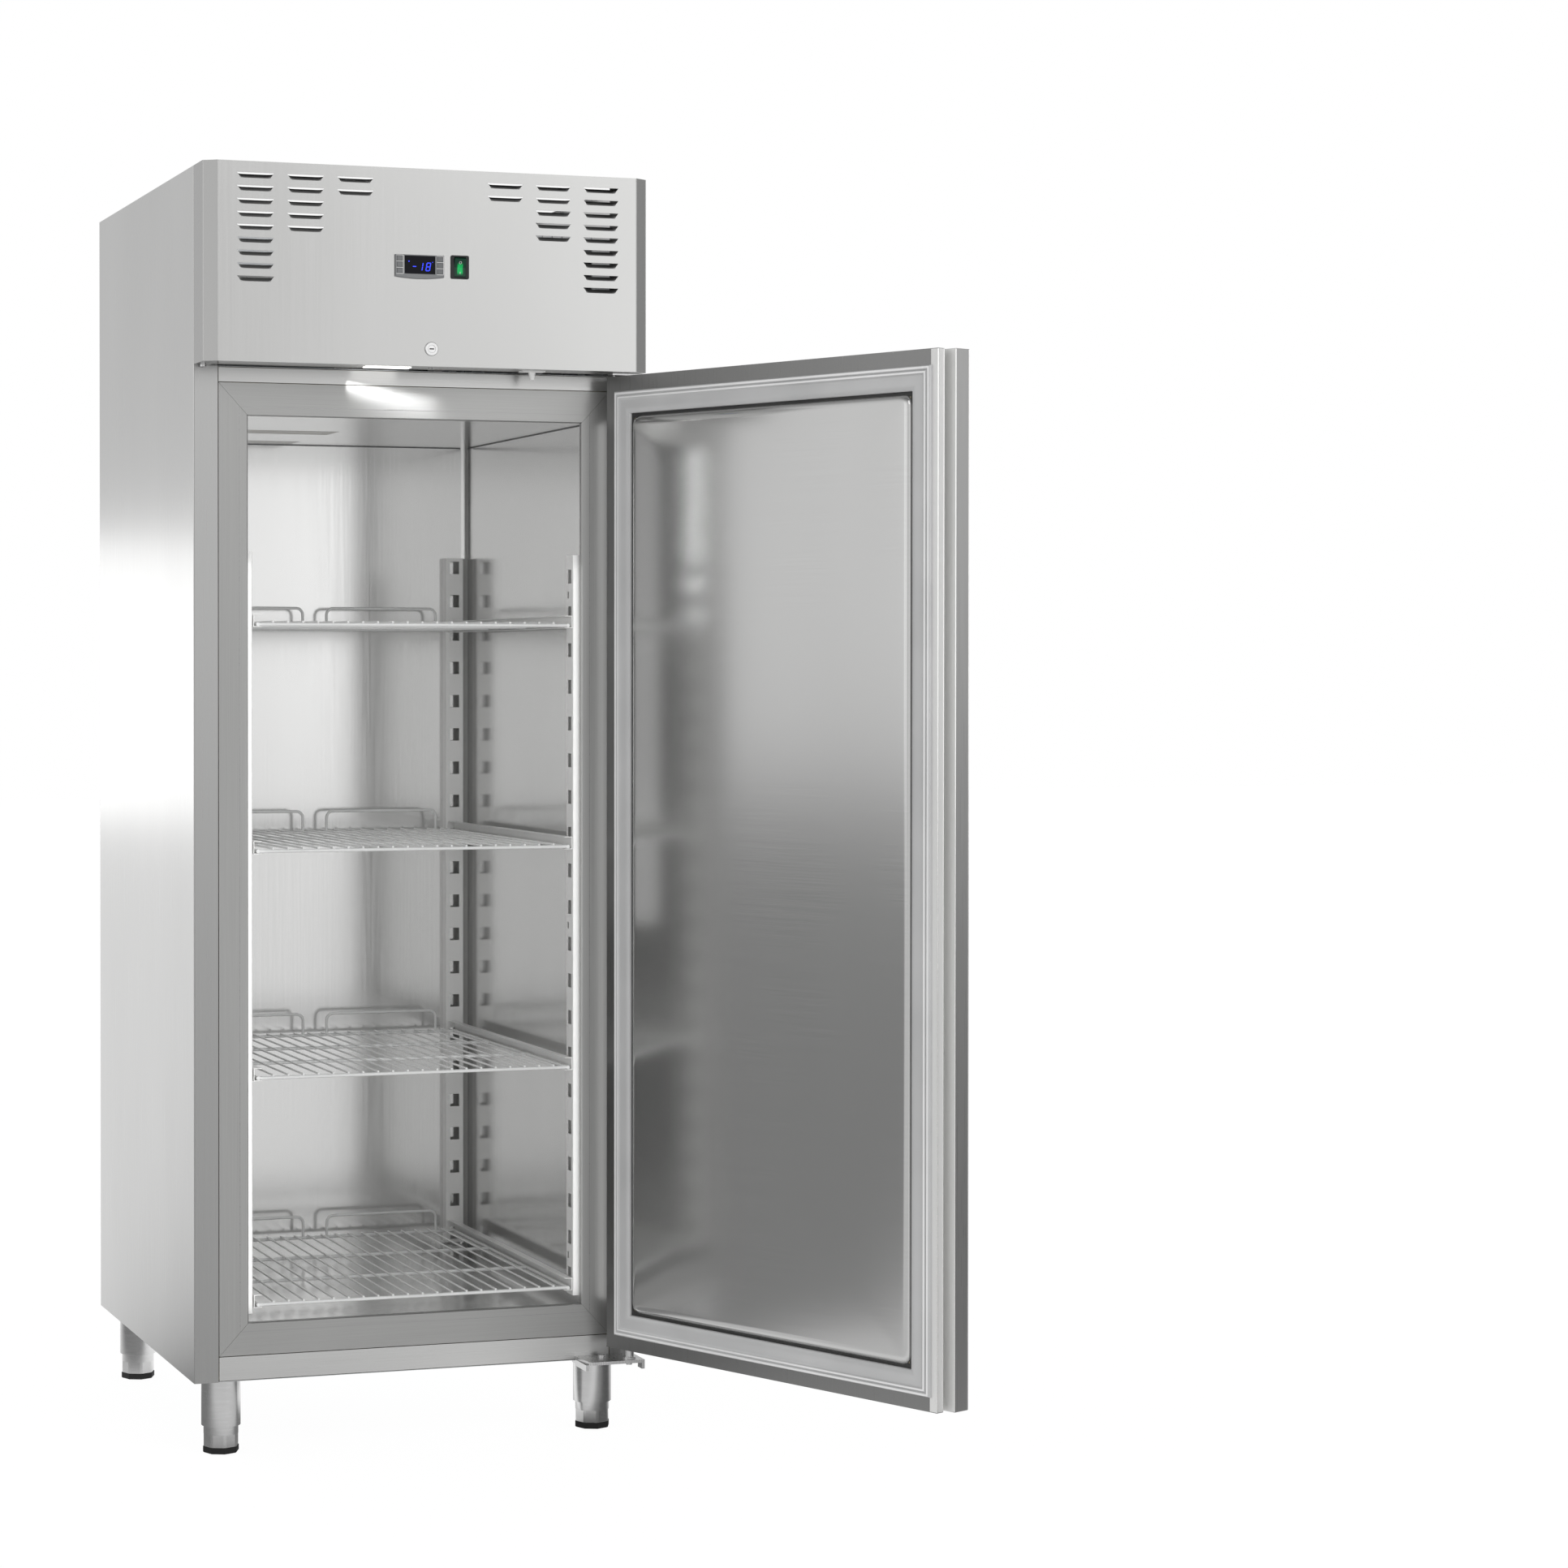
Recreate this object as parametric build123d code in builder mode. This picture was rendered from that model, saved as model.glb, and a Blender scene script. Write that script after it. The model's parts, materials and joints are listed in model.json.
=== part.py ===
from build123d import *
import os
from math import atan2, cos, pi, radians, sin, sqrt, tan

# Upright stainless storage refrigerator: one insulated door, a machine compartment on top behind a
# louvred fascia, four wire shelves on slotted uprights and four screw feet.
# All sizes are in millimetres. Inside this file a place is written in cabinet terms: x from the left
# side, y from the front of the body towards the back, z from the floor.

# Body shell
body_width = 740.0
body_depth = 760.0
body_bottom = 120.0
body_top = 2058.0
sheet = 1.0
bend_radius = 2.0
front_flange = 39.6
rear_flange = 22.0
top_flange = 16.0
seam = 1.2
deck_level = 1742.0
lintel_height = 25.0
bottom_bar_height = 40.0

# Door frame and liner
opening_width = 562.5
opening_bottom = 213.0
opening_top = 1663.5
frame_depth = 10.0
frame_edge = 1.5
mitre_gap = 0.3
side_wall = 72.0
back_wall = 60.0
floor_level = 210.0
ceiling_level = 1664.0
liner_corner = 12.0

# Door, drawn closed and then swung about its hinge
door_side_gap = 2.0
door_face_gap = 10.0
door_depth = 68.8
door_bevel_width = 21.3
door_bevel_depth = 13.8
door_bottom = 148.0
door_top = 1736.5
hinge_inset = 20.9
hinge_forward = 43.9
photographed_turn = 113.75
door_return = 27.0
grip_inset = 12.8
grip_wall = 14.0
grip_mouth = 11.0
grip_reach = 33.0
grip_sheet = 1.2
gasket_inset = 23.5
gasket_width = 38.0
gasket_base = 4.0
gasket_squeeze = 0.3
gasket_bulb_inset = 8.0
gasket_bulb_width = 22.0
gasket_bottom_inset = 22.0
panel_gap = 2.5
panel_rim = 2.0
panel_rise = 5.0
panel_slope = 60.0
panel_corner = 15.0
foam_gap = 0.2

# Hinge hardware
pin_radius = 5.0
pin_play = 0.05
bush_radius = 8.0
bush_flange_radius = 12.0
bush_flange = 2.0
bush_top_flange = 1.0
pin_short = 2.0
bush_length = 24.0
plate = 5.0
lower_plate_top = 127.0
lower_plate_left = 640.0
lower_plate_reach = 62.0
lower_plate_back = 15.0
washer_radius = 11.0
washer = 3.0
upper_plate = 3.0
upper_plate_left = 686.0
upper_plate_above_door = 2.8
upper_leg = 26.0
upper_bolt_inset = 12.0
under_bolt_inset = 30.0
plate_bolt_x = 680.0
plate_bolt_y = -20.0
stop_pin_radius = 2.0
stop_pin_circle = 27.0
stop_pin_angle = 66.25
bolt_radius = 4.0
bolt_head_radius = 6.5
bolt_head = 4.0

# Fascia
fascia_bottom = 1743.0
fascia_back_gap = 1.5
fascia_lower_return = 64.0
fascia_pivot_y = -8.0
fascia_pivot_drop = 4.0
pivot_pin_radius = 2.0
pivot_ear = 2.9
pivot_ear_gap = 4.5
pivot_ear_sheet = 2.0
pivot_notch = 5.0
louvre_length = 60.0
louvre_height = 8.6
louvre_depth = 7.0
louvre_draw = 4.5
louvre_corner = 3.0
louvre_slit = 2.0
louvre_pitch = 20.3
louvre_columns_pitch = 81.4
louvre_side = 52.4
louvre_top = 18.0
louvre_rows = (9, 5, 2)

# Controller, switch, lock, lamp and door switch, all carried by the fascia
controller_width = 81.0
controller_height = 38.0
controller_x = 350.6
controller_z = 1901.0
controller_proud = 4.0
controller_body_width = 70.0
controller_body_height = 28.5
controller_body_depth = 55.0
controller_chin = 3.0
window_width = 51.0
window_height = 29.0
window_drop = 1.5
window_deep = 2.0
fit_gap = 0.3
button_width = 9.4
button_height = 8.2
button_pitch = 9.9
button_from_centre = 33.4
button_rise = 0.9
button_travel = 0.7
button_thickness = 2.2
button_corner = 1.2
button_edge = 0.4
bezel_edge = 0.8
seat_gap = 0.05
rocker_x = 418.0
rocker_z = 1902.8
rocker_bezel_width = 30.3
rocker_bezel_height = 37.6
rocker_bezel_proud = 2.5
rocker_bezel_corner = 2.5
rocker_width = 19.0
rocker_radius = 15.8
rocker_axis_depth = 5.0
rocker_waist = 4.2
rocker_horn = 7.3
rocker_back = 3.0
rocker_rest_turn = 9.0
rocker_body_width = 25.6
rocker_body_height = 34.6
rocker_body_depth = 24.0
lock_x = 370.8
lock_z = 1770.8
lock_rim_radius = 11.0
lock_rim = 2.5
lock_barrel_radius = 9.0
lock_barrel_length = 26.0
lock_plug_radius = 6.0
lock_plug_play = 0.05
lock_cam_radius = 8.0
lock_cam = 2.0
key_slot_width = 7.5
key_slot_height = 2.0
key_slot_depth = 12.0
lock_bolt_x = 380.0
lock_bolt_radius = 3.5
lock_bolt_length = 24.0
lock_bolt_throw = 12.0
lock_bolt_proud = 1.5
bolt_clear = 1.0
underside_y = -42.0
lamp_x = 307.5
lamp_length = 75.0
lamp_width = 26.0
lamp_height = 14.0
lamp_proud = 1.0
lamp_corner = 3.0
switch_x = 552.0
switch_plate_length = 40.0
switch_plate_width = 24.0
switch_plate = 2.0
switch_body_length = 28.0
switch_body_width = 16.0
switch_body_height = 26.0
plunger_root_radius = 6.2
plunger_tip_radius = 3.2
plunger_drop = 13.0
plunger_inside = 8.0
plunger_travel = 10.0
corner_screw_x = 13.6
corner_screw_y = -9.0
corner_screw_radius = 2.5
corner_screw_head = 4.0
corner_screw_head_radius = 5.0
corner_nut = 3.0
gusset_width = 27.0
catch_width = 17.0
catch_front = 5.0
catch_gap = 0.8
catch_sheet = 2.0
bolt_guide = 16.0
bolt_guide_height = 12.0

# Uprights, runners and shelves
post_face = 34.0
post_stand_off_side = 27.0
post_stand_off_back = 20.0
post_front_y = 14.0
post_bottom_front = 225.0
post_bottom_rear = 214.0
post_top_front = 1447.0
post_top_rear = 1462.0
rear_post_offset = 118.0
slot_pitch = 60.7
slot_height = 22.7
slot_width = 17.5
slot_top_front = 1423.5
slot_top_rear = 1456.0
slot_end_margin = 4.0
screw_hole_height = 11.0
screw_hole_width = 7.5
screw_hole_back = 7.5
screw_hole_every = 9
shelf_width = 530.0
shelf_length = 650.0
lowest_shelf = 238.5
shelf_pitches = 6
shelf_count = 4
bar_radius = 3.0
cross_bar_radius = 2.8
wire_radius = 1.75
wire_count = 20
wire_sink = 0.5
cross_bars = 4
loop_height = 38.0
loop_width = 204.0
loop_radius = 2.5
loop_bend = 12.0
loop_from_centre = 124.0
shelf_side_gap = 3.5
shelf_front_y = 12.0
shelf_play = 0.35
runner_height = 20.5
runner_lip = 12.0
runner_back_gap = 0.4
hook_height = 5.5
hook_length = 15.0
hook_reach = 4.0

# Feet
foot_side = 54.0
foot_front = 47.0
foot_back = 66.0
sleeve_radius = 31.7
sleeve_wall = 2.0
sleeve_bottom = 44.0
sleeve_cap = 2.0
insert_radius = 28.0
insert_top = 84.0
insert_flats_top = 30.0
insert_across_flats = 53.4
thread_low = 94.0
thread_top = 114.0
thread_radius = 6.0
tip_height = 10.0
tip_across_flats = 54.6
tip_edge = 1.5

# Machine compartment
duct_x = (130.0, 330.0)
suction_y = (330.0, 420.0)
supply_y = (600.0, 680.0)
duct_slots = 6
duct_slot_gap = 6.0
cover_side = 24.0
cover_height = 190.0
cover_wall = 12.0
coil_height = 130.0
coil_depth = 90.0
coil_end = 3.0
coil_shift = 12.0
cover_corner = 8.0
fin_thickness = 1.2
evaporator_fins = 12
condenser_fins = 16
tube_radius = 4.0
tube_rows = 5
condenser_x = (430.0, 690.0)
condenser_y = (60.0, 108.0)
condenser_height = 230.0
condenser_lift = 6.0
shroud_depth = 34.0
shroud_gap = 1.0
fan_radius = 88.0
fan_clear = 5.0
fan_hub_radius = 26.0
fan_hub_length = 26.0
fan_blades = 5
blade_thickness = 2.0
blade_width = 26.0
blade_pitch = 28.0
spindle_radius = 4.0
strut_width = 12.0
evaporator_fan_radius = 60.0
compressor_x = 570.0
compressor_y = 430.0
compressor_radius = 88.0
compressor_height = 190.0
compressor_foot = 108.0
compressor_foot_depth = 70.0
compressor_lift = 12.0
compressor_dome = 38.0
grommet_radius = 9.0
grommet_inset = 12.0
electrics_x = (70.0, 250.0)
electrics_y = (70.0, 170.0)
electrics_height = 120.0
electrics_wall = 2.0
pipe_radius = 4.0
pipe_bend = 14.0
pipe_gap = 0.4
pipe_corridor = 110.0
discharge_height = 123.0
suction_height = 93.0
liquid_height = 20.0
vent_slot_length = 90.0
vent_slot_height = 8.0
vent_rows = 8
vent_columns = 5
vent_pitch = 24.0
vent_lift = 20.0
inlet_x = 110.0
inlet_z = 1790.0
gland_radius = 9.0
gland_bore = 4.5
gland_nut_radius = 14.0
gland_nut = 6.0
gland_out = 18.0

# Places worked out from the sizes above
door_back = -door_face_gap
door_front = door_back - door_depth
door_flank_front = door_front + door_bevel_depth
door_left = door_side_gap
door_right = body_width - door_side_gap
door_height = door_top - door_bottom
hinge_x = body_width - hinge_inset
hinge_y = -hinge_forward
frame_left = front_flange + seam
frame_right = body_width - frame_left
frame_bottom = body_bottom + bottom_bar_height + seam
frame_top = deck_level - lintel_height - seam
opening_left = (body_width - opening_width) / 2
opening_right = body_width - opening_left
liner_left = side_wall
liner_right = body_width - side_wall
liner_back = body_depth - back_wall

# The row's origin is on the floor, in the middle of the whole outline with the door open as
# photographed, so the cabinet's own left front corner lies at minus these two values.
turn = radians(photographed_turn)
free_x = door_left - hinge_x
free_y = door_flank_front - hinge_y
reach_x = hinge_x + free_x * cos(turn) - free_y * sin(turn)
bevel_x = door_left + door_bevel_width - hinge_x
bevel_y = door_front - hinge_y
reach_bevel_x = hinge_x + bevel_x * cos(turn) - bevel_y * sin(turn)
back_y = door_back - hinge_y
inset_x = door_left + grip_inset - hinge_x
reach_y = hinge_y + inset_x * sin(turn) + back_y * cos(turn)
reach_flank_y = hinge_y + free_x * sin(turn) + free_y * cos(turn)
middle_x = max(reach_x, reach_bevel_x) / 2
rear_reach = body_depth - sheet + gland_out
middle_y = (rear_reach + min(reach_y, reach_flank_y)) / 2

floor = Plane(origin=(-middle_x, -middle_y, 0), x_dir=(1, 0, 0), z_dir=(0, 0, 1))
front = Plane(origin=(-middle_x, -middle_y, 0), x_dir=(1, 0, 0), z_dir=(0, -1, 0))
side = Plane(origin=(-middle_x, -middle_y, 0), x_dir=(0, 1, 0), z_dir=(1, 0, 0))
swing = Pos(hinge_x - middle_x, hinge_y - middle_y, 0) * Rot(0, 0, photographed_turn)
swing = swing * Pos(middle_x - hinge_x, middle_y - hinge_y, 0)
door_floor = Plane(swing * floor.location)
door_front_plane = Plane(swing * front.location)


def block(x, y, z, mode=Mode.ADD, base=floor):
    # A rectangular block between two values each of x, y and z.
    with BuildSketch(base.offset(z[0])) as outline:
        with Locations(((x[0] + x[1]) / 2, (y[0] + y[1]) / 2)):
            Rectangle(x[1] - x[0], y[1] - y[0])
    extrude(outline.sketch, amount=z[1] - z[0], mode=mode)


def rod(start, end, radius, mode=Mode.ADD, base=floor):
    # A round bar or a round hole from one point to another.
    here = base.from_local_coords(Vector(*start))
    there = base.from_local_coords(Vector(*end))
    with BuildSketch(Plane(origin=here, z_dir=there - here)) as disc:
        Circle(radius)
    extrude(disc.sketch, amount=(there - here).length, mode=mode)


def prism(points, low, high, mode=Mode.ADD, base=floor):
    # A solid with the given outline, from one level of its plane to another.
    with BuildSketch(base.offset(low)) as outline:
        with BuildLine():
            Polyline(*points, close=True)
        make_face()
    extrude(outline.sketch, amount=high - low, mode=mode)


def folded(points, low, high, thickness=sheet, turned=Side.RIGHT, base=floor, radius=bend_radius):
    # Folded sheet: an open line of bends, thickened to one side and drawn out.
    with BuildSketch(base.offset(low)) as profile:
        with BuildLine():
            FilletPolyline(*points, radius=radius)
            offset(amount=thickness, side=turned)
        make_face()
    extrude(profile.sketch, amount=high - low)


def save(builder, name):
    builder.part.label = name
    export_step(builder.part, "parts/" + name + ".step")


os.makedirs("parts", exist_ok=True)


# Side panels: front flange, side and rear flange in one folded sheet, a lip along the top edge and a
# pierced ear that carries the fascia's pivot. The left one also has a tab with an open slot for the
# screw under the fascia's corner.
pivot_z = body_top - fascia_pivot_drop
catch_low = fascia_bottom + sheet + catch_gap


def side_panel(name, hand):
    def across(x):
        return x if hand < 0 else body_width - x

    turned = Side.RIGHT if hand < 0 else Side.LEFT
    ear_low = sheet + pivot_ear_gap
    ear_high = ear_low + pivot_ear_sheet
    with BuildPart() as panel:
        corners = ((across(front_flange), 0), (across(0), 0), (across(0), body_depth),
                   (across(rear_flange), body_depth))
        folded(corners, body_bottom, body_top, turned=turned)
        lip = sorted((across(sheet / 2), across(top_flange)))
        block(lip, (bend_radius, body_depth - bend_radius), (body_top - sheet, body_top))
        ear = sorted((across(ear_low), across(ear_high)))
        block(ear, (fascia_pivot_y, sheet / 2), (pivot_z - pivot_ear, pivot_z + pivot_ear))
        ends = [across(ear_low), across(ear_high)]
        rod((ends[0], fascia_pivot_y, pivot_z), (ends[1], fascia_pivot_y, pivot_z), pivot_ear)
        rod((ends[0], fascia_pivot_y, pivot_z), (ends[1], fascia_pivot_y, pivot_z),
            pivot_pin_radius + pin_play, Mode.SUBTRACT)
        if hand < 0:
            tab = (corner_screw_x - catch_width / 2, corner_screw_x + catch_width / 2)
            tip = corner_screw_y - catch_front
            slot_half = corner_screw_radius + fit_gap
            block(tab, (tip, sheet / 2), (catch_low, catch_low + catch_sheet))
            block((corner_screw_x - slot_half, corner_screw_x + slot_half),
                  (tip, corner_screw_y + slot_half), (catch_low, catch_low + catch_sheet),
                  Mode.SUBTRACT)
    save(panel, name)


side_panel("side_panel_left", -1)
side_panel("side_panel_right", 1)

# Back panel, lying against the rear flanges, with its own fold along the bottom
back_inner = body_depth - 2 * sheet
with BuildPart() as back_panel:
    block((bend_radius, body_width - bend_radius), (back_inner, body_depth - sheet),
          (body_bottom, deck_level))
save(back_panel, "back_panel")

# Bottom panel
with BuildPart() as bottom_panel:
    block((sheet, body_width - sheet), (bend_radius, back_inner), (body_bottom, body_bottom + sheet))
save(bottom_panel, "bottom_panel")

# Deck: the roof of the insulated box and the floor of the machine compartment, with two air ducts
with BuildPart() as deck_panel:
    block((sheet, body_width - sheet), (bend_radius, back_inner), (deck_level - sheet, deck_level))
    for y in (suction_y, supply_y):
        block(duct_x, y, (deck_level - sheet, deck_level), Mode.SUBTRACT)
save(deck_panel, "deck_panel")

# Lintel and bottom bar: flat folded strips between the side panels' flanges
with BuildPart() as lintel_bar:
    lintel_low = deck_level - lintel_height
    lintel_high = deck_level - sheet - seam
    block((frame_left, frame_right), (0, sheet), (lintel_low, lintel_high))
    block((frame_left, frame_right), (sheet / 2, frame_depth), (lintel_low, lintel_low + sheet))
save(lintel_bar, "lintel_bar")

with BuildPart() as bottom_bar:
    bar_high = body_bottom + bottom_bar_height
    block((frame_left, frame_right), (0, sheet), (body_bottom + sheet + seam, bar_high))
    block((frame_left, frame_right), (sheet / 2, frame_depth), (bar_high - sheet, bar_high))
save(bottom_bar, "bottom_bar")

# Door frame: four mitred rails round the opening, the faces that the gasket closes on
outer = ((frame_left, frame_bottom), (frame_right, frame_bottom), (frame_right, frame_top),
         (frame_left, frame_top))
inner = ((opening_left, opening_bottom), (opening_right, opening_bottom),
         (opening_right, opening_top), (opening_left, opening_top))
with BuildPart() as door_frame:
    for i in range(len(outer)):
        j = (i + 1) % len(outer)
        prism((outer[i], outer[j], inner[j], inner[i]), -frame_depth, 0, base=front)
    for i in range(len(outer)):
        cut = Vector(*inner[i]) - Vector(*outer[i])
        across_cut = Vector(-cut.Y, cut.X).normalized() * (mitre_gap / 2)
        start = Vector(*outer[i]) - cut
        end = Vector(*inner[i]) + cut
        ends = [start - across_cut, end - across_cut, end + across_cut, start + across_cut]
        prism([(p.X, p.Y) for p in ends], -frame_depth, 0, Mode.SUBTRACT, front)
    rims = door_frame.edges().group_by(Axis.Y)[0].filter_by(
        lambda edge: edge.length > opening_width - 1 and (
            abs(edge.center().Z - opening_bottom) < 1 or abs(edge.center().Z - opening_top) < 1
            or abs(abs(edge.center().X + middle_x - body_width / 2) - opening_width / 2) < 1))
    chamfer(rims, frame_edge)
save(door_frame, "door_frame")

# Liner: wrap of two sides and a back with rounded rear corners, a floor pan and a ceiling with rows
# of air slots under the ducts
with BuildPart() as liner:
    wrap = ((liner_left, frame_depth), (liner_left, liner_back), (liner_right, liner_back),
            (liner_right, frame_depth))
    folded(wrap, floor_level, ceiling_level, turned=Side.LEFT, radius=liner_corner)
    across_liner = (liner_left - sheet, liner_right + sheet)
    along_liner = (frame_depth, liner_back + sheet)
    block(across_liner, along_liner, (floor_level - sheet, floor_level))
    block(across_liner, along_liner, (ceiling_level, ceiling_level + sheet))
    for duct in (suction_y, supply_y):
        slot = (duct[1] - duct[0]) / duct_slots - duct_slot_gap
        for n in range(duct_slots):
            start = duct[0] + duct_slot_gap / 2 + n * (slot + duct_slot_gap)
            block(duct_x, (start, start + slot), (ceiling_level, ceiling_level + sheet),
                  Mode.SUBTRACT)
save(liner, "liner")

# Insulation: one foamed body that fills the space between the shell and the liner
with BuildPart() as insulation:
    block((sheet, body_width - sheet), (sheet, back_inner),
          (body_bottom + sheet, deck_level - sheet))
    block((front_flange, body_width - front_flange), (sheet, frame_depth),
          (body_bottom + sheet, deck_level - sheet), Mode.SUBTRACT)
    with BuildSketch(floor.offset(floor_level - sheet)) as cavity:
        with BuildLine():
            Polyline((liner_left - sheet, 0), (liner_right + sheet, 0),
                     (liner_right + sheet, liner_back + sheet),
                     (liner_left - sheet, liner_back + sheet), close=True)
        make_face()
    extrude(cavity.sketch, amount=ceiling_level - floor_level + 2 * sheet, mode=Mode.SUBTRACT)
    for y in (suction_y, supply_y):
        block(duct_x, y, (ceiling_level, deck_level), Mode.SUBTRACT)
    for x, turn_side in ((sheet, 1), (body_width - sheet, -1)):
        corner_x = sorted((x, x + turn_side * bend_radius))
        for y in ((sheet, sheet + bend_radius), (back_inner - bend_radius, back_inner)):
            block(corner_x, y, (body_bottom, deck_level), Mode.SUBTRACT)
save(insulation, "insulation")


# Uprights: folded channels with a row of slots for the runners. The front ones also have a few
# screw holes, each between two slots.
def slot_levels(top, bottom):
    count = int((top - slot_height - slot_end_margin - bottom) // slot_pitch) + 1
    return [top - n * slot_pitch for n in range(count)]


with BuildPart() as uprights_front:
    for hand in (-1, 1):
        wall = liner_left if hand < 0 else liner_right
        face = wall - hand * post_stand_off_side
        corners = ((wall, post_front_y), (face, post_front_y), (face, post_front_y + post_face),
                   (wall, post_front_y + post_face))
        turned = Side.RIGHT if hand > 0 else Side.LEFT
        folded(corners, post_bottom_front, post_top_front, turned=turned)
        middle = post_front_y + post_face / 2
        through = sorted((face - 2 * sheet, face + 2 * sheet))
        hole_y = (middle + screw_hole_back - screw_hole_width / 2,
                  middle + screw_hole_back + screw_hole_width / 2)
        for n, z in enumerate(slot_levels(slot_top_front, post_bottom_front)):
            block(through, (middle - slot_width / 2, middle + slot_width / 2),
                  (z - slot_height, z), Mode.SUBTRACT)
            if n % screw_hole_every == 0:
                hole = z - slot_height - (slot_pitch - slot_height) / 2
                block(through, hole_y,
                      (hole - screw_hole_height / 2, hole + screw_hole_height / 2), Mode.SUBTRACT)
save(uprights_front, "uprights_front")

rear_face = liner_back - post_stand_off_back
with BuildPart() as uprights_rear:
    for hand in (-1, 1):
        inner_edge = body_width / 2 + hand * (body_width / 2 - rear_post_offset)
        outer_edge = inner_edge + hand * post_face
        corners = ((inner_edge, liner_back), (inner_edge, rear_face), (outer_edge, rear_face),
                   (outer_edge, liner_back))
        turned = Side.LEFT if hand > 0 else Side.RIGHT
        folded(corners, post_bottom_rear, post_top_rear, turned=turned)
        middle = (inner_edge + outer_edge) / 2
        through = (rear_face - 2 * sheet, rear_face + 2 * sheet)
        for z in slot_levels(slot_top_rear, post_bottom_rear):
            block((middle - slot_width / 2, middle + slot_width / 2), through,
                  (z - slot_height, z), Mode.SUBTRACT)
save(uprights_rear, "uprights_rear")

# Shelf runners: channels between the front and the rear upright, open towards the shelf
shelf_levels = [lowest_shelf + n * shelf_pitches * slot_pitch for n in range(shelf_count)]
shelf_left = (body_width - shelf_width) / 2
shelf_right = body_width - shelf_left
with BuildPart() as shelf_runners:
    for hand in (-1, 1):
        edge = shelf_left if hand < 0 else shelf_right
        web = edge + hand * shelf_side_gap
        lip = web - hand * runner_lip
        post = liner_left + post_stand_off_side if hand < 0 else liner_right - post_stand_off_side
        for level in shelf_levels:
            low = level - bar_radius - shelf_play - sheet
            high = low + runner_height
            along = (shelf_front_y, rear_face - runner_back_gap)
            block(sorted((web, web + hand * sheet)), along, (low, high))
            block(sorted((lip, web)), along, (low, low + sheet))
            block(sorted((lip, web)), along, (high - sheet, high))
            below = [z for z in slot_levels(slot_top_front, post_bottom_front)
                     if z - slot_height < high - sheet]
            seat = below[0] - slot_height if below else low
            seat = max(seat, low) + mitre_gap
            top = min(seat + hook_height, high, below[0] - mitre_gap)
            middle = post_front_y + post_face / 2
            block(sorted((web, post + hand * hook_reach)),
                  (middle - hook_length / 2, middle + hook_length / 2), (seat, top))
save(shelf_runners, "shelf_runners")


# Shelves: a welded grid of lengthwise wires on four cross bars between two side rods, with two
# upstanding loops along the rear edge. The grid is drawn once at floor level and set at each level.
rod_left = shelf_left + bar_radius
rod_right = shelf_right - bar_radius
bar_front = shelf_front_y + bar_radius
bar_rear = shelf_front_y + shelf_length - bar_radius
with BuildPart() as grid:
    for x in (rod_left, rod_right):
        rod((x, bar_front - bar_radius, 0), (x, bar_rear + bar_radius, 0), bar_radius)
    for n in range(cross_bars):
        y = bar_front + n * (bar_rear - bar_front) / (cross_bars - 1)
        rod((rod_left, y, 0), (rod_right, y, 0), cross_bar_radius)
    wire_pitch = (rod_right - rod_left) / (wire_count + 1)
    wire_level = cross_bar_radius + wire_radius - wire_sink
    for n in range(wire_count):
        x = rod_left + (n + 1) * wire_pitch
        rod((x, bar_front - bar_radius, wire_level), (x, bar_rear + bar_radius / 2, wire_level),
            wire_radius)
    for hand in (-1, 1):
        middle = body_width / 2 + hand * loop_from_centre
        a = middle - loop_width / 2
        b = middle + loop_width / 2
        upright = Plane(floor.from_local_coords(Vector(0, bar_rear, 0)), x_dir=(1, 0, 0),
                        z_dir=(0, -1, 0))
        with BuildLine(upright) as path:
            FilletPolyline((a, 0), (a, loop_height), (b, loop_height), (b, 0), radius=loop_bend)
        with BuildSketch(Plane(path.line @ 0, z_dir=path.line % 0)) as section:
            Circle(loop_radius)
        sweep(section.sketch, path=path.line)

for n, level in enumerate(shelf_levels):
    with BuildPart() as shelf:
        with Locations((0, 0, level)):
            add(grid.part)
    save(shelf, "shelf_" + str(n + 1))


# Door, all of it on the swung planes. Outer skin: folded front with bevelled edges, returns round
# the back and closed ends
back_low = door_bottom + sheet
back_high = door_top - sheet
groove_near = door_back - grip_wall
groove_far = groove_near - grip_mouth
inset_left = door_left + grip_inset
groove_end = door_left + grip_reach
grip_leg_end = door_left + door_return
bevel_turn = atan2(door_bevel_width, door_bevel_depth)


def door_section(gap):
    # The door's cross-section seen from above, drawn in by a gap, with the grip's recess.
    left = door_left + gap
    right = door_right - gap
    flank = door_flank_front + gap * tan(bevel_turn / 2)
    bevel = door_bevel_width + gap * tan(pi / 4 - bevel_turn / 2)
    return ((inset_left + gap, door_back - gap), (inset_left + gap, groove_near + gap),
            (groove_end + gap, groove_near + gap), (groove_end + gap, groove_far - gap),
            (left, groove_far - gap), (left, flank), (door_left + bevel, door_front + gap),
            (door_right - bevel, door_front + gap), (right, flank), (right, door_back - gap))


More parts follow.
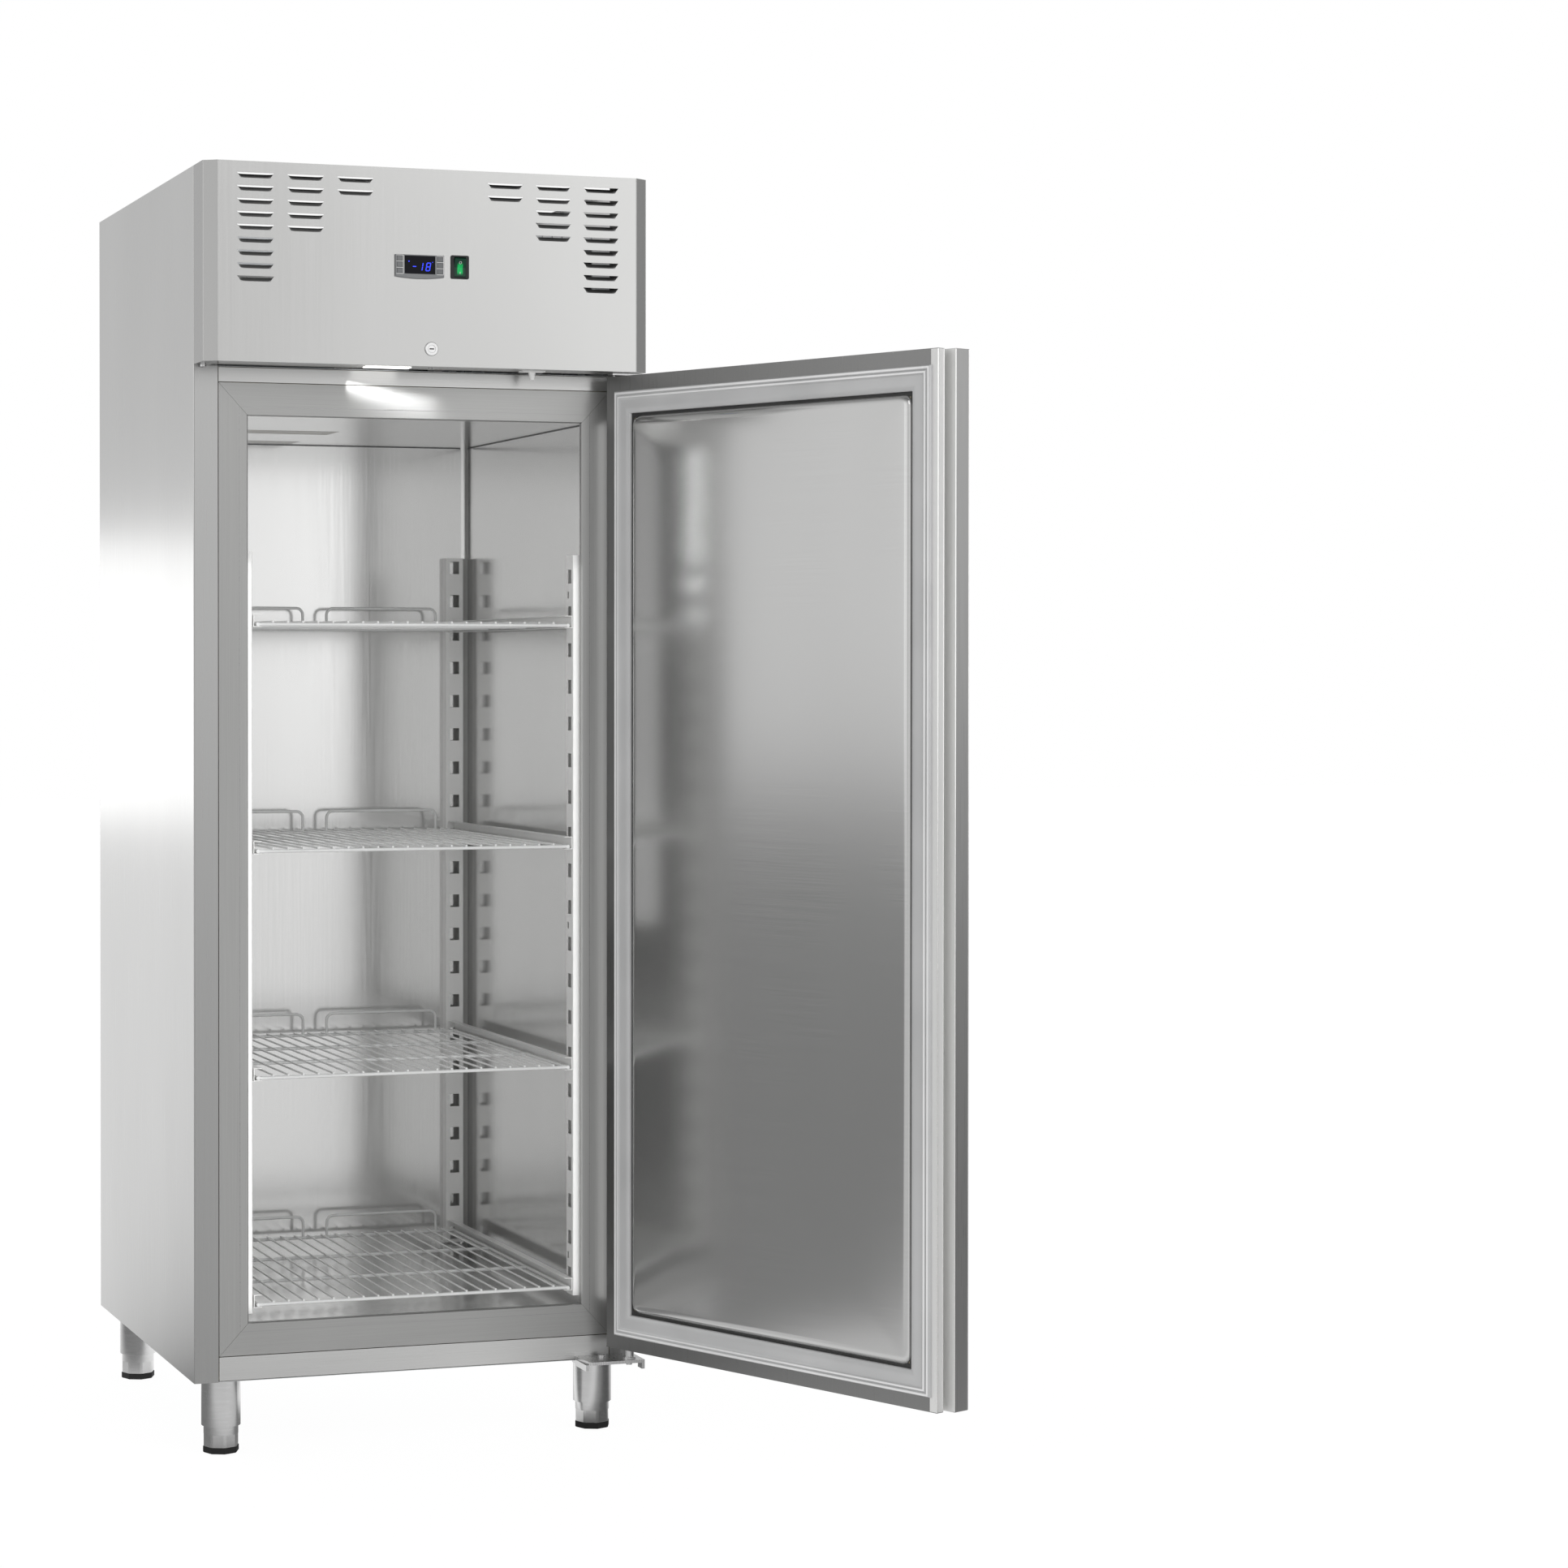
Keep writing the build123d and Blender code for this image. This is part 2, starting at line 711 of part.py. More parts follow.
with BuildPart() as door_skin:
    shell = ((door_left, groove_far), (door_left, door_flank_front),
             (door_left + door_bevel_width, door_front), (door_right - door_bevel_width, door_front),
             (door_right, door_flank_front), (door_right, door_back),
             (door_right - door_return, door_back))
    folded(shell, door_bottom, door_top, turned=Side.LEFT, base=door_floor)
    prism(door_section(0), door_bottom, back_low, base=door_floor)
    prism(door_section(0), back_high, door_top, base=door_floor)
    across_back = (grip_leg_end + mitre_gap, door_right - bend_radius)
    block(across_back, (door_back - sheet, door_back), (door_bottom, door_bottom + door_return),
          base=door_floor)
    block(across_back, (door_back - sheet, door_back), (door_top - door_return, door_top),
          base=door_floor)
    for z in (door_bottom, door_top - sheet):
        rod((hinge_x, hinge_y, z), (hinge_x, hinge_y, z + sheet), bush_radius + fit_gap,
            Mode.SUBTRACT, door_floor)
    rod((lock_bolt_x, underside_y, back_high), (lock_bolt_x, underside_y, door_top),
        lock_bolt_radius + bolt_clear, Mode.SUBTRACT, door_floor)
save(door_skin, "door_skin")

# Grip: a folded channel along the free edge that the fingers hook behind the front
with BuildPart() as door_grip:
    channel = ((grip_leg_end, door_back), (inset_left, door_back), (inset_left, groove_near),
               (groove_end, groove_near), (groove_end, groove_far), (door_left + sheet, groove_far))
    folded(channel, back_low, back_high, grip_sheet, Side.LEFT, door_floor, grip_sheet)
save(door_grip, "door_grip")

# Insulation of the door
skin_gap = grip_sheet + foam_gap
with BuildPart() as door_foam:
    prism(door_section(skin_gap), back_low + foam_gap, back_high - foam_gap, base=door_floor)
    for low, high in ((back_low, door_bottom + bush_length + foam_gap),
                      (door_top - bush_length - foam_gap, back_high)):
        rod((hinge_x, hinge_y, low), (hinge_x, hinge_y, high), bush_radius + foam_gap,
            Mode.SUBTRACT, door_floor)
    rod((lock_bolt_x, underside_y, door_top - lock_bolt_throw - bolt_clear),
        (lock_bolt_x, underside_y, back_high), lock_bolt_radius + bolt_clear, Mode.SUBTRACT,
        door_floor)
save(door_foam, "door_foam")

# Gasket: a closed ring with a flat base and a magnet bulb, just short of the frame when shut
gasket_face = -gasket_squeeze
gasket_offset = gasket_inset - gasket_bottom_inset
gasket_outer = gasket_inset + door_left


def ring(inset, width, low, high):
    # A rectangular ring on the door's back, between two depths.
    with BuildSketch(door_front_plane.offset(-low)) as outline:
        with Locations((body_width / 2, (door_bottom + door_top) / 2)):
            Rectangle(body_width - 2 * inset, door_height - 2 * (inset - gasket_offset))
            Rectangle(body_width - 2 * (inset + width),
                      door_height - 2 * (inset + width - gasket_offset), mode=Mode.SUBTRACT)
    extrude(outline.sketch, amount=low - high)


with BuildPart() as door_gasket:
    ring(gasket_outer, gasket_width, door_back, door_back + gasket_base)
    ring(gasket_outer + gasket_bulb_inset, gasket_bulb_width, door_back + gasket_base, gasket_face)
save(door_gasket, "door_gasket")

# Inner panel: a pressed sheet with a raised, softly sloping field
panel_inset = gasket_outer + gasket_width + panel_gap
panel_width = body_width - 2 * panel_inset
panel_height = door_height - 2 * (panel_inset - gasket_offset)
with BuildPart() as door_inner_panel:
    with BuildSketch(door_front_plane.offset(-door_back)) as field:
        with Locations((body_width / 2, (door_bottom + door_top) / 2)):
            RectangleRounded(panel_width, panel_height, panel_corner)
    extrude(field.sketch, amount=-panel_rim)
    with BuildSketch(door_front_plane.offset(-door_back - panel_rim)) as crown:
        with Locations((body_width / 2, (door_bottom + door_top) / 2)):
            RectangleRounded(panel_width, panel_height, panel_corner)
    extrude(crown.sketch, amount=-panel_rise, taper=panel_slope)
save(door_inner_panel, "door_inner_panel")

# Hinge parts of the door: a flanged bush in each end and the pin that limits the opening
with BuildPart() as door_hinge_parts:
    for z, out in ((door_bottom, -1), (door_top, 1)):
        rod((hinge_x, hinge_y, z), (hinge_x, hinge_y, z - out * bush_length), bush_radius,
            base=door_floor)
    rod((hinge_x, hinge_y, door_bottom - bush_flange), (hinge_x, hinge_y, door_bottom),
        bush_flange_radius, base=door_floor)
    rod((hinge_x, hinge_y, door_top), (hinge_x, hinge_y, door_top + bush_top_flange),
        bush_flange_radius, base=door_floor)
    for z, out in ((door_bottom, -1), (door_top, 1)):
        rod((hinge_x, hinge_y, z + out * bush_flange), (hinge_x, hinge_y, z - out * bush_length),
            pin_radius + pin_play, Mode.SUBTRACT, door_floor)
    stop_x = hinge_x + stop_pin_circle * cos(radians(stop_pin_angle))
    stop_y = hinge_y + stop_pin_circle * sin(radians(stop_pin_angle))
    rod((stop_x, stop_y, door_top), (stop_x, stop_y, door_top + upper_plate_above_door - fit_gap),
        stop_pin_radius, base=door_floor)
save(door_hinge_parts, "door_hinge_parts")

# Lower hinge bracket: a cranked plate under the body with its pin, a washer and a turned-down edge
with BuildPart() as hinge_bracket_lower:
    front_y = -lower_plate_reach
    low = lower_plate_top - plate
    back_y = -fit_gap
    plan = ((lower_plate_left, back_y), (lower_plate_left + plate, front_y + plate),
            (lower_plate_left + 2 * plate, front_y), (body_width, front_y), (body_width, back_y))
    prism(plan, low, lower_plate_top)
    block((lower_plate_left, body_width), (-plate, back_y), (body_bottom - plate, lower_plate_top))
    block((lower_plate_left, body_width), (-plate, lower_plate_back),
          (body_bottom - plate, body_bottom))
    block((lower_plate_left, lower_plate_left + plate), (front_y + plate, back_y),
          (low - 2 * plate, low))
    block((body_width - plate, body_width), (front_y, front_y + 4 * plate), (low - 2 * plate, low))
    rod((hinge_x, hinge_y, low - plate), (hinge_x, hinge_y, door_bottom + bush_length - pin_short),
        pin_radius)
    rod((hinge_x, hinge_y, lower_plate_top),
        (hinge_x, hinge_y, door_bottom - bush_flange - fit_gap), washer_radius - washer)
    rod((hinge_x, hinge_y, lower_plate_top), (hinge_x, hinge_y, lower_plate_top + washer),
        washer_radius)
save(hinge_bracket_lower, "hinge_bracket_lower")

# Upper hinge bracket: a thin plate over the door with a pin down into it and a leg on the body
upper_low = door_top + upper_plate_above_door
upper_high = upper_low + upper_plate
upper_right = body_width - 3 * sheet
with BuildPart() as hinge_bracket_upper:
    block((upper_plate_left, upper_right), (hinge_y - bush_flange_radius, 0), (upper_low, upper_high))
    block((upper_plate_left, upper_right), (-upper_plate, 0), (upper_low, upper_high + upper_leg))
    rod((hinge_x, hinge_y, upper_high), (hinge_x, hinge_y, door_top - bush_length + pin_short),
        pin_radius)
save(hinge_bracket_upper, "hinge_bracket_upper")

# Bolts of the hinge brackets: two heads under the body, one on the plate, two on the upper leg
with BuildPart() as hinge_bolts:
    leg_middle = upper_high + upper_leg / 2
    for x in (lower_plate_left + under_bolt_inset, body_width - under_bolt_inset):
        rod((x, lower_plate_back / 2, body_bottom - plate),
            (x, lower_plate_back / 2, body_bottom - plate - bolt_head), bolt_head_radius)
    rod((plate_bolt_x, plate_bolt_y, lower_plate_top),
        (plate_bolt_x, plate_bolt_y, lower_plate_top + bolt_head), bolt_head_radius)
    for x in (upper_plate_left + upper_bolt_inset, upper_right - upper_bolt_inset):
        rod((x, -upper_plate, leg_middle), (x, -upper_plate - bolt_head, leg_middle),
            bolt_head_radius)
save(hinge_bolts, "hinge_bolts")

# Fascia: folded front with bevelled ends and returns, pressed louvres, cut-outs, a return below with
# a gusset in its left corner, and a welded guide for the lock's bolt
fascia_back = -fascia_back_gap
return_back = door_front + fascia_lower_return
louvre_high = body_top - louvre_top


def fascia_outline(back):
    # The fascia seen from above, from one rear edge round the front to the other.
    return ((0, back), (0, door_flank_front), (door_bevel_width, door_front),
            (body_width - door_bevel_width, door_front), (body_width, door_flank_front),
            (body_width, back))


def front_hole(x, z, width, height):
    # A rectangular hole through the fascia's front.
    block((x - width / 2, x + width / 2), (door_front - sheet, door_front + 2 * sheet),
          (z - height / 2, z + height / 2), Mode.SUBTRACT)


def under_hole(x, width, depth):
    # A rectangular hole through the fascia's lower return.
    block((x - width / 2, x + width / 2), (underside_y - depth / 2, underside_y + depth / 2),
          (fascia_bottom - sheet, fascia_bottom + 2 * sheet), Mode.SUBTRACT)


with BuildPart() as fascia:
    folded(fascia_outline(fascia_back), fascia_bottom, body_top, turned=Side.LEFT)
    prism(fascia_outline(fascia_back), body_top - sheet, body_top)
    prism(fascia_outline(return_back), fascia_bottom, fascia_bottom + sheet)
    block((0, gusset_width), (return_back - sheet, fascia_back), (fascia_bottom, fascia_bottom + sheet))
    rod((corner_screw_x, corner_screw_y, fascia_bottom),
        (corner_screw_x, corner_screw_y, fascia_bottom + sheet), corner_screw_radius + pin_play,
        Mode.SUBTRACT)
    for hand in (-1, 1):
        ear = sheet + pivot_ear_gap + pivot_ear_sheet / 2
        x = ear if hand < 0 else body_width - ear
        block((x - pivot_notch, x + pivot_notch), (fascia_pivot_y - pivot_notch, 0),
              (body_top - sheet, body_top), Mode.SUBTRACT)
    for column, rows in enumerate(louvre_rows):
        start = louvre_side + column * louvre_columns_pitch
        for a in (start, body_width - start - louvre_length):
            b = a + louvre_length
            c = a + louvre_draw
            d = b - louvre_draw
            levels = [louvre_high - row * louvre_pitch for row in range(rows)]
            with BuildSketch(front.offset(sheet - door_front)) as cuts:
                for high in levels:
                    low = high - louvre_height
                    corner = low + louvre_corner
                    mid = louvre_corner * (1 - sqrt(0.5))
                    with BuildLine():
                        Polyline((c, corner), (a, high), (b, high), (d, corner))
                        ThreePointArc((d, corner), (d - mid, low + mid), (d - louvre_corner, low))
                        Line((d - louvre_corner, low), (c + louvre_corner, low))
                        ThreePointArc((c + louvre_corner, low), (c + mid, low + mid), (c, corner))
                    make_face()
            extrude(cuts.sketch, amount=-3 * sheet, mode=Mode.SUBTRACT)
            with BuildSketch(side.offset(c)) as flaps:
                for high in levels:
                    low = high - louvre_height
                    lip = high - louvre_slit
                    deep = door_front + louvre_depth
                    with BuildLine():
                        Polyline((door_front, low), (deep, lip), (deep + sheet, lip),
                                 (door_front + sheet, low - sheet),
                                 (door_front + sheet / 2, low - sheet), close=True)
                    make_face()
            extrude(flaps.sketch, amount=d - c)
    front_hole(controller_x, controller_z, controller_body_width + 2 * fit_gap,
               controller_body_height + 2 * fit_gap)
    front_hole(rocker_x, rocker_z, rocker_body_width + 2 * fit_gap, rocker_body_height + 2 * fit_gap)
    rod((lock_x, door_front - sheet, lock_z), (lock_x, door_front + 2 * sheet, lock_z),
        lock_barrel_radius + fit_gap, Mode.SUBTRACT)
    under_hole(lamp_x, lamp_length + 2 * fit_gap, lamp_width + 2 * fit_gap)
    under_hole(switch_x, switch_body_length + 2 * fit_gap, switch_body_width + 2 * fit_gap)
    block((lock_bolt_x - bolt_guide / 2, lock_bolt_x + bolt_guide / 2),
          (underside_y - bolt_guide / 2, underside_y + bolt_guide / 2),
          (fascia_bottom, fascia_bottom + bolt_guide_height))
    rod((lock_bolt_x, underside_y, fascia_bottom),
        (lock_bolt_x, underside_y, fascia_bottom + bolt_guide_height), lock_bolt_radius + fit_gap,
        Mode.SUBTRACT)
save(fascia, "fascia")

# Fascia fasteners: two pivot pins inside the top corners, and a screw with its nut in the lower left
# corner that draws the gusset up to the slotted tab
with BuildPart() as fascia_fasteners:
    for hand in (-1, 1):
        wall = sheet if hand < 0 else body_width - sheet
        tip = wall - hand * (pivot_ear_gap + 2 * pivot_ear_sheet)
        rod((wall, fascia_pivot_y, pivot_z), (tip, fascia_pivot_y, pivot_z), pivot_pin_radius)
    screw = (corner_screw_x, corner_screw_y)
    nut_low = catch_low + catch_sheet + fit_gap
    rod((*screw, fascia_bottom - corner_screw_head), (*screw, fascia_bottom), corner_screw_head_radius)
    rod((*screw, fascia_bottom), (*screw, nut_low + corner_nut), corner_screw_radius)
    rod((*screw, nut_low), (*screw, nut_low + corner_nut), corner_screw_head_radius)
save(fascia_fasteners, "fascia_fasteners")

# Controller housing: a bezel with a curved chin, a pocket for the window and one for each button
window_z = controller_z + controller_height / 2 - window_drop - window_height / 2
button_places = []
for n in range(3):
    for hand in (-1, 1):
        button_places.append((controller_x + hand * button_from_centre,
                              window_z + (1 - n) * button_pitch))
bezel_front = door_front - controller_proud
with BuildPart() as controller_housing:
    a = controller_x - controller_width / 2
    b = controller_x + controller_width / 2
    high = controller_z + controller_height / 2
    low = controller_z - controller_height / 2 + controller_chin
    with BuildSketch(front.offset(-door_front)) as bezel:
        with BuildLine():
            Line((a, low), (a, high))
            Line((a, high), (b, high))
            Line((b, high), (b, low))
            ThreePointArc((b, low), (controller_x, low - controller_chin), (a, low))
        make_face()
    extrude(bezel.sketch, amount=controller_proud)
    chamfer(controller_housing.faces().sort_by(Axis.Y)[0].edges(), bezel_edge)
    block((controller_x - controller_body_width / 2, controller_x + controller_body_width / 2),
          (door_front, door_front + controller_body_depth),
          (controller_z - controller_body_height / 2, controller_z + controller_body_height / 2))
    block((controller_x - window_width / 2, controller_x + window_width / 2),
          (bezel_front, bezel_front + window_deep),
          (window_z - window_height / 2, window_z + window_height / 2), Mode.SUBTRACT)
    pocket = button_thickness - button_rise + button_travel + fit_gap
    for x, z in button_places:
        block((x - button_width / 2, x + button_width / 2), (bezel_front, bezel_front + pocket),
              (z - button_height / 2, z + button_height / 2), Mode.SUBTRACT)
save(controller_housing, "controller_housing")

with BuildPart() as controller_window:
    block((controller_x - window_width / 2 + seat_gap, controller_x + window_width / 2 - seat_gap),
          (bezel_front + seat_gap, bezel_front + window_deep),
          (window_z - window_height / 2 + seat_gap, window_z + window_height / 2 - seat_gap))
save(controller_window, "controller_window")

# Six push buttons, three on each side of the window
for n, (x, z) in enumerate(button_places):
    with BuildPart() as button:
        block((x - button_width / 2 + fit_gap, x + button_width / 2 - fit_gap),
              (bezel_front - button_rise, bezel_front - button_rise + button_thickness),
              (z - button_height / 2 + fit_gap, z + button_height / 2 - fit_gap))
        fillet(button.edges().filter_by(Axis.Y), button_corner)
        chamfer(button.faces().sort_by(Axis.Y)[0].edges(), button_edge)
    save(button, "button_" + str(n + 1))

# Rocker switch: a black surround with its body behind the fascia, and the rocker on its axis
rocker_front = door_front - rocker_bezel_proud
rocker_axis_y = rocker_front + rocker_axis_depth
with BuildPart() as switch_bezel:
    with BuildSketch(front.offset(-door_front)) as surround:
        with Locations((rocker_x, rocker_z)):
            RectangleRounded(rocker_bezel_width, rocker_bezel_height, rocker_bezel_corner)
    extrude(surround.sketch, amount=rocker_bezel_proud)
    chamfer(switch_bezel.faces().sort_by(Axis.Y)[0].edges(), bezel_edge)
    block((rocker_x - rocker_body_width / 2, rocker_x + rocker_body_width / 2),
          (door_front, door_front + rocker_body_depth),
          (rocker_z - rocker_body_height / 2, rocker_z + rocker_body_height / 2))
    block((rocker_x - rocker_width / 2 - fit_gap, rocker_x + rocker_width / 2 + fit_gap),
          (rocker_front, door_front + rocker_body_depth - 2 * sheet),
          (rocker_z - rocker_radius - fit_gap, rocker_z + rocker_radius + fit_gap), Mode.SUBTRACT)
save(switch_bezel, "switch_bezel")

with BuildPart() as switch_rocker:
    away = 2 * rocker_radius
    rise = (rocker_horn - rocker_waist) / rocker_radius * away
    pressed = Rot(rocker_rest_turn, 0, 0)
    axis_point = floor.from_local_coords(Vector(rocker_x - rocker_width / 2, rocker_axis_y, rocker_z))
    rocker_plane = Plane(Pos(*axis_point) * pressed * Plane.YZ.location)
    with BuildSketch(rocker_plane) as profile:
        with BuildLine():
            Polyline((rocker_back, -away), (rocker_back, away), (-rocker_waist - rise, away),
                     (-rocker_waist, 0), (-rocker_waist - rise, -away), close=True)
        make_face()
        Circle(rocker_radius, mode=Mode.INTERSECT)
    extrude(profile.sketch, amount=rocker_width)
save(switch_rocker, "switch_rocker")

# Lock: a rimmed barrel in the fascia, the plug that the key turns and the bolt that it drives down
barrel_back = door_front + lock_barrel_length
with BuildPart() as lock_barrel:
    rod((lock_x, door_front - lock_rim, lock_z), (lock_x, door_front, lock_z), lock_rim_radius)
    chamfer(lock_barrel.faces().sort_by(Axis.Y)[0].edges(), bezel_edge)
    rod((lock_x, door_front, lock_z), (lock_x, barrel_back, lock_z), lock_barrel_radius)
    rod((lock_x, door_front - lock_rim, lock_z), (lock_x, barrel_back, lock_z),
        lock_plug_radius + lock_plug_play, Mode.SUBTRACT)
save(lock_barrel, "lock_barrel")

with BuildPart() as lock_plug:
    cam_front = barrel_back + fit_gap
    rod((lock_x, door_front - lock_rim + fit_gap, lock_z), (lock_x, cam_front, lock_z),
        lock_plug_radius)
    rod((lock_x, cam_front, lock_z), (lock_x, cam_front + lock_cam, lock_z), lock_cam_radius)
    rod((lock_x + lock_cam_radius - lock_cam, cam_front, lock_z),
        (lock_x + lock_cam_radius - lock_cam, cam_front + 2 * lock_cam, lock_z), lock_cam / 2)
    block((lock_x - key_slot_width / 2, lock_x + key_slot_width / 2),
          (door_front - lock_rim, door_front - lock_rim + key_slot_depth),
          (lock_z - key_slot_height / 2, lock_z + key_slot_height / 2), Mode.SUBTRACT)
save(lock_plug, "lock_plug")

with BuildPart() as lock_bolt:
    bolt_low = fascia_bottom - lock_bolt_proud
    rod((lock_bolt_x, underside_y, bolt_low),
        (lock_bolt_x, underside_y, bolt_low + lock_bolt_length), lock_bolt_radius)
    chamfer(lock_bolt.faces().sort_by(Axis.Z)[0].edges(), bezel_edge)
save(lock_bolt, "lock_bolt")

# Lamp under the fascia: a lens that stands a little proud of the return
with BuildPart() as door_lamp:
    block((lamp_x - lamp_length / 2, lamp_x + lamp_length / 2),
          (underside_y - lamp_width / 2, underside_y + lamp_width / 2),
          (fascia_bottom - lamp_proud, fascia_bottom + lamp_height))
    fillet(door_lamp.edges().filter_by(Axis.Z), lamp_corner)
save(door_lamp, "door_lamp")

# Door switch: a plate under the fascia with its body above, and the tapered plunger
plate_low = fascia_bottom - switch_plate
bore_top = plate_low + plunger_inside + plunger_travel + bolt_clear
with BuildPart() as door_switch_housing:
    block((switch_x - switch_plate_length / 2, switch_x + switch_plate_length / 2),
          (underside_y - switch_plate_width / 2, underside_y + switch_plate_width / 2),
          (plate_low, fascia_bottom))
    fillet(door_switch_housing.edges().filter_by(Axis.Z), lamp_corner)
    block((switch_x - switch_body_length / 2, switch_x + switch_body_length / 2),
          (underside_y - switch_body_width / 2, underside_y + switch_body_width / 2),
          (fascia_bottom, fascia_bottom + switch_body_height))
    rod((switch_x, underside_y, plate_low), (switch_x, underside_y, bore_top),
        plunger_root_radius + fit_gap, Mode.SUBTRACT)
save(door_switch_housing, "door_switch_housing")

with BuildPart() as door_switch_plunger:
    rod((switch_x, underside_y, plate_low), (switch_x, underside_y, plate_low + plunger_inside),
        plunger_root_radius)
    with BuildSketch(floor.offset(plate_low)) as root_disc:
        with Locations((switch_x, underside_y)):
            Circle(plunger_root_radius)
    with BuildSketch(floor.offset(plate_low - plunger_drop)) as tip_disc:
        with Locations((switch_x, underside_y)):
            Circle(plunger_tip_radius)
    loft([root_disc.sketch, tip_disc.sketch])
    fillet(door_switch_plunger.faces().sort_by(Axis.Z)[0].edges(), bolt_clear)
save(door_switch_plunger, "door_switch_plunger")

# Feet: a fixed sleeve with a threaded disc inside, and a screw insert with flats and a rubber tip
foot_places = {}
for row, y in (("front", foot_front), ("rear", body_depth - foot_back)):
    for hand, x in (("left", foot_side), ("right", body_width - foot_side)):
        foot_places["foot_" + row + "_" + hand] = (x, y)

with BuildPart() as foot_sleeves:
    for x, y in foot_places.values():
        rod((x, y, sleeve_bottom), (x, y, body_bottom), sleeve_radius)
        rod((x, y, sleeve_bottom), (x, y, thread_low), sleeve_radius - sleeve_wall, Mode.SUBTRACT)
        rod((x, y, thread_low), (x, y, body_bottom - sleeve_cap), thread_radius + pin_play,
            Mode.SUBTRACT)
save(foot_sleeves, "foot_sleeves")

for name, (x, y) in foot_places.items():
    with BuildPart() as foot:
        rod((x, y, tip_height), (x, y, insert_top), insert_radius)
        with BuildSketch(floor.offset(tip_height)) as flats:
            with Locations((x, y)):
                Circle(2 * insert_radius)
                RegularPolygon(insert_across_flats / 2, 8, major_radius=False, mode=Mode.SUBTRACT)
        extrude(flats.sketch, amount=insert_flats_top - tip_height, mode=Mode.SUBTRACT)
        rod((x, y, insert_top), (x, y, thread_top), thread_radius)
        with BuildSketch(floor) as sole:
            with Locations((x, y)):
                RegularPolygon(tip_across_flats / 2, 8, major_radius=False)
        extrude(sole.sketch, amount=tip_height)
        chamfer(foot.faces().sort_by(Axis.Z)[0].edges(), tip_edge)
    save(foot, name)


def finned_coil(x, y, z, fins):
    # A stack of upright fins on round tubes, with thicker end plates.
    pitch = (x[1] - x[0] - fin_thickness) / (fins - 1)
    for n in range(fins):
        start = x[0] + n * pitch
        block((start, start + fin_thickness), y, z)
    for n in range(tube_rows):
        height = z[0] + (n + 0.5) * (z[1] - z[0]) / tube_rows
        rod((x[0], sum(y) / 2, height), (x[1], sum(y) / 2, height), tube_radius)


def fan(name, centre, radius, spindle_end):
    # A fan on a spindle along y: a hub, pitched blades and the spindle into its motor.
    x, y, z = centre
    with BuildPart() as wheel:
        rod((x, y - fan_hub_length / 2, z), (x, y + fan_hub_length / 2, z), fan_hub_radius)
        rod((x, y + fan_hub_length / 2, z), (x, spindle_end, z), spindle_radius)
        middle = floor.from_local_coords(Vector(x, y, z))
        for n in range(fan_blades):
            tilted = Plane(Pos(*middle) * Rot(0, n * 360 / fan_blades, 0)
                           * Rot(0, 0, blade_pitch) * Pos(0, 0, fan_hub_radius - blade_thickness))
            with BuildSketch(tilted) as blade:
                Rectangle(blade_width, blade_thickness)
            extrude(blade.sketch, amount=radius - fan_hub_radius + blade_thickness)
    save(wheel, name)


# Evaporator in its insulated cover over the two ducts, with its fan and the fan's motor
cover_x = (duct_x[0] - cover_side, duct_x[1] + cover_side)
cover_y = (suction_y[0] - cover_side, supply_y[1] + cover_side)
cover_top = deck_level + cover_height
with BuildPart() as evaporator_cover:
    block(cover_x, cover_y, (deck_level, cover_top))
    block((cover_x[0] + cover_wall, cover_x[1] - cover_wall),
          (cover_y[0] + cover_wall, cover_y[1] - cover_wall),
          (deck_level, cover_top - cover_wall), Mode.SUBTRACT)
    fillet(evaporator_cover.edges().filter_by(Axis.Z).group_by(Axis.Y)[0], cover_corner)
    fillet(evaporator_cover.edges().filter_by(Axis.Z).group_by(Axis.Y)[-1], cover_corner)
save(evaporator_cover, "evaporator_cover")

coil_z = (deck_level + coil_end, deck_level + coil_end + coil_height)
coil_y = ((suction_y[1] + supply_y[0]) / 2 - coil_depth / 2 + coil_shift,
          (suction_y[1] + supply_y[0]) / 2 + coil_depth / 2 + coil_shift)
evaporator_fan_centre = ((duct_x[0] + duct_x[1]) / 2, suction_y[1] - evaporator_fan_radius / 2,
                         sum(coil_z) / 2)
motor_front = evaporator_fan_centre[1] + fan_hub_length / 2 + fan_clear
with BuildPart() as evaporator:
    finned_coil(duct_x, coil_y, coil_z, evaporator_fins)
    x, y, z = evaporator_fan_centre
    rod((x, motor_front, z), (x, coil_y[0] + fin_thickness, z), fan_hub_radius)
    block(duct_x, (coil_y[0] - strut_width / 2, coil_y[0] + fin_thickness),
          (z - strut_width / 2, z + strut_width / 2))
    rod((x, motor_front, z), (x, motor_front + strut_width + spindle_radius, z),
        spindle_radius + pin_play, Mode.SUBTRACT)
save(evaporator, "evaporator")
fan("evaporator_fan", evaporator_fan_centre, evaporator_fan_radius, motor_front + strut_width)

# Condenser behind the left louvres' air path, its shroud and its fan
condenser_z = (deck_level + condenser_lift, deck_level + condenser_lift + condenser_height)
with BuildPart() as condenser:
    finned_coil(condenser_x, condenser_y, condenser_z, condenser_fins)
    for x in (condenser_x[0] + 2 * condenser_lift, condenser_x[1] - 4 * condenser_lift):
        block((x, x + 2 * condenser_lift), condenser_y, (deck_level, condenser_z[0] + sheet))
save(condenser, "condenser")

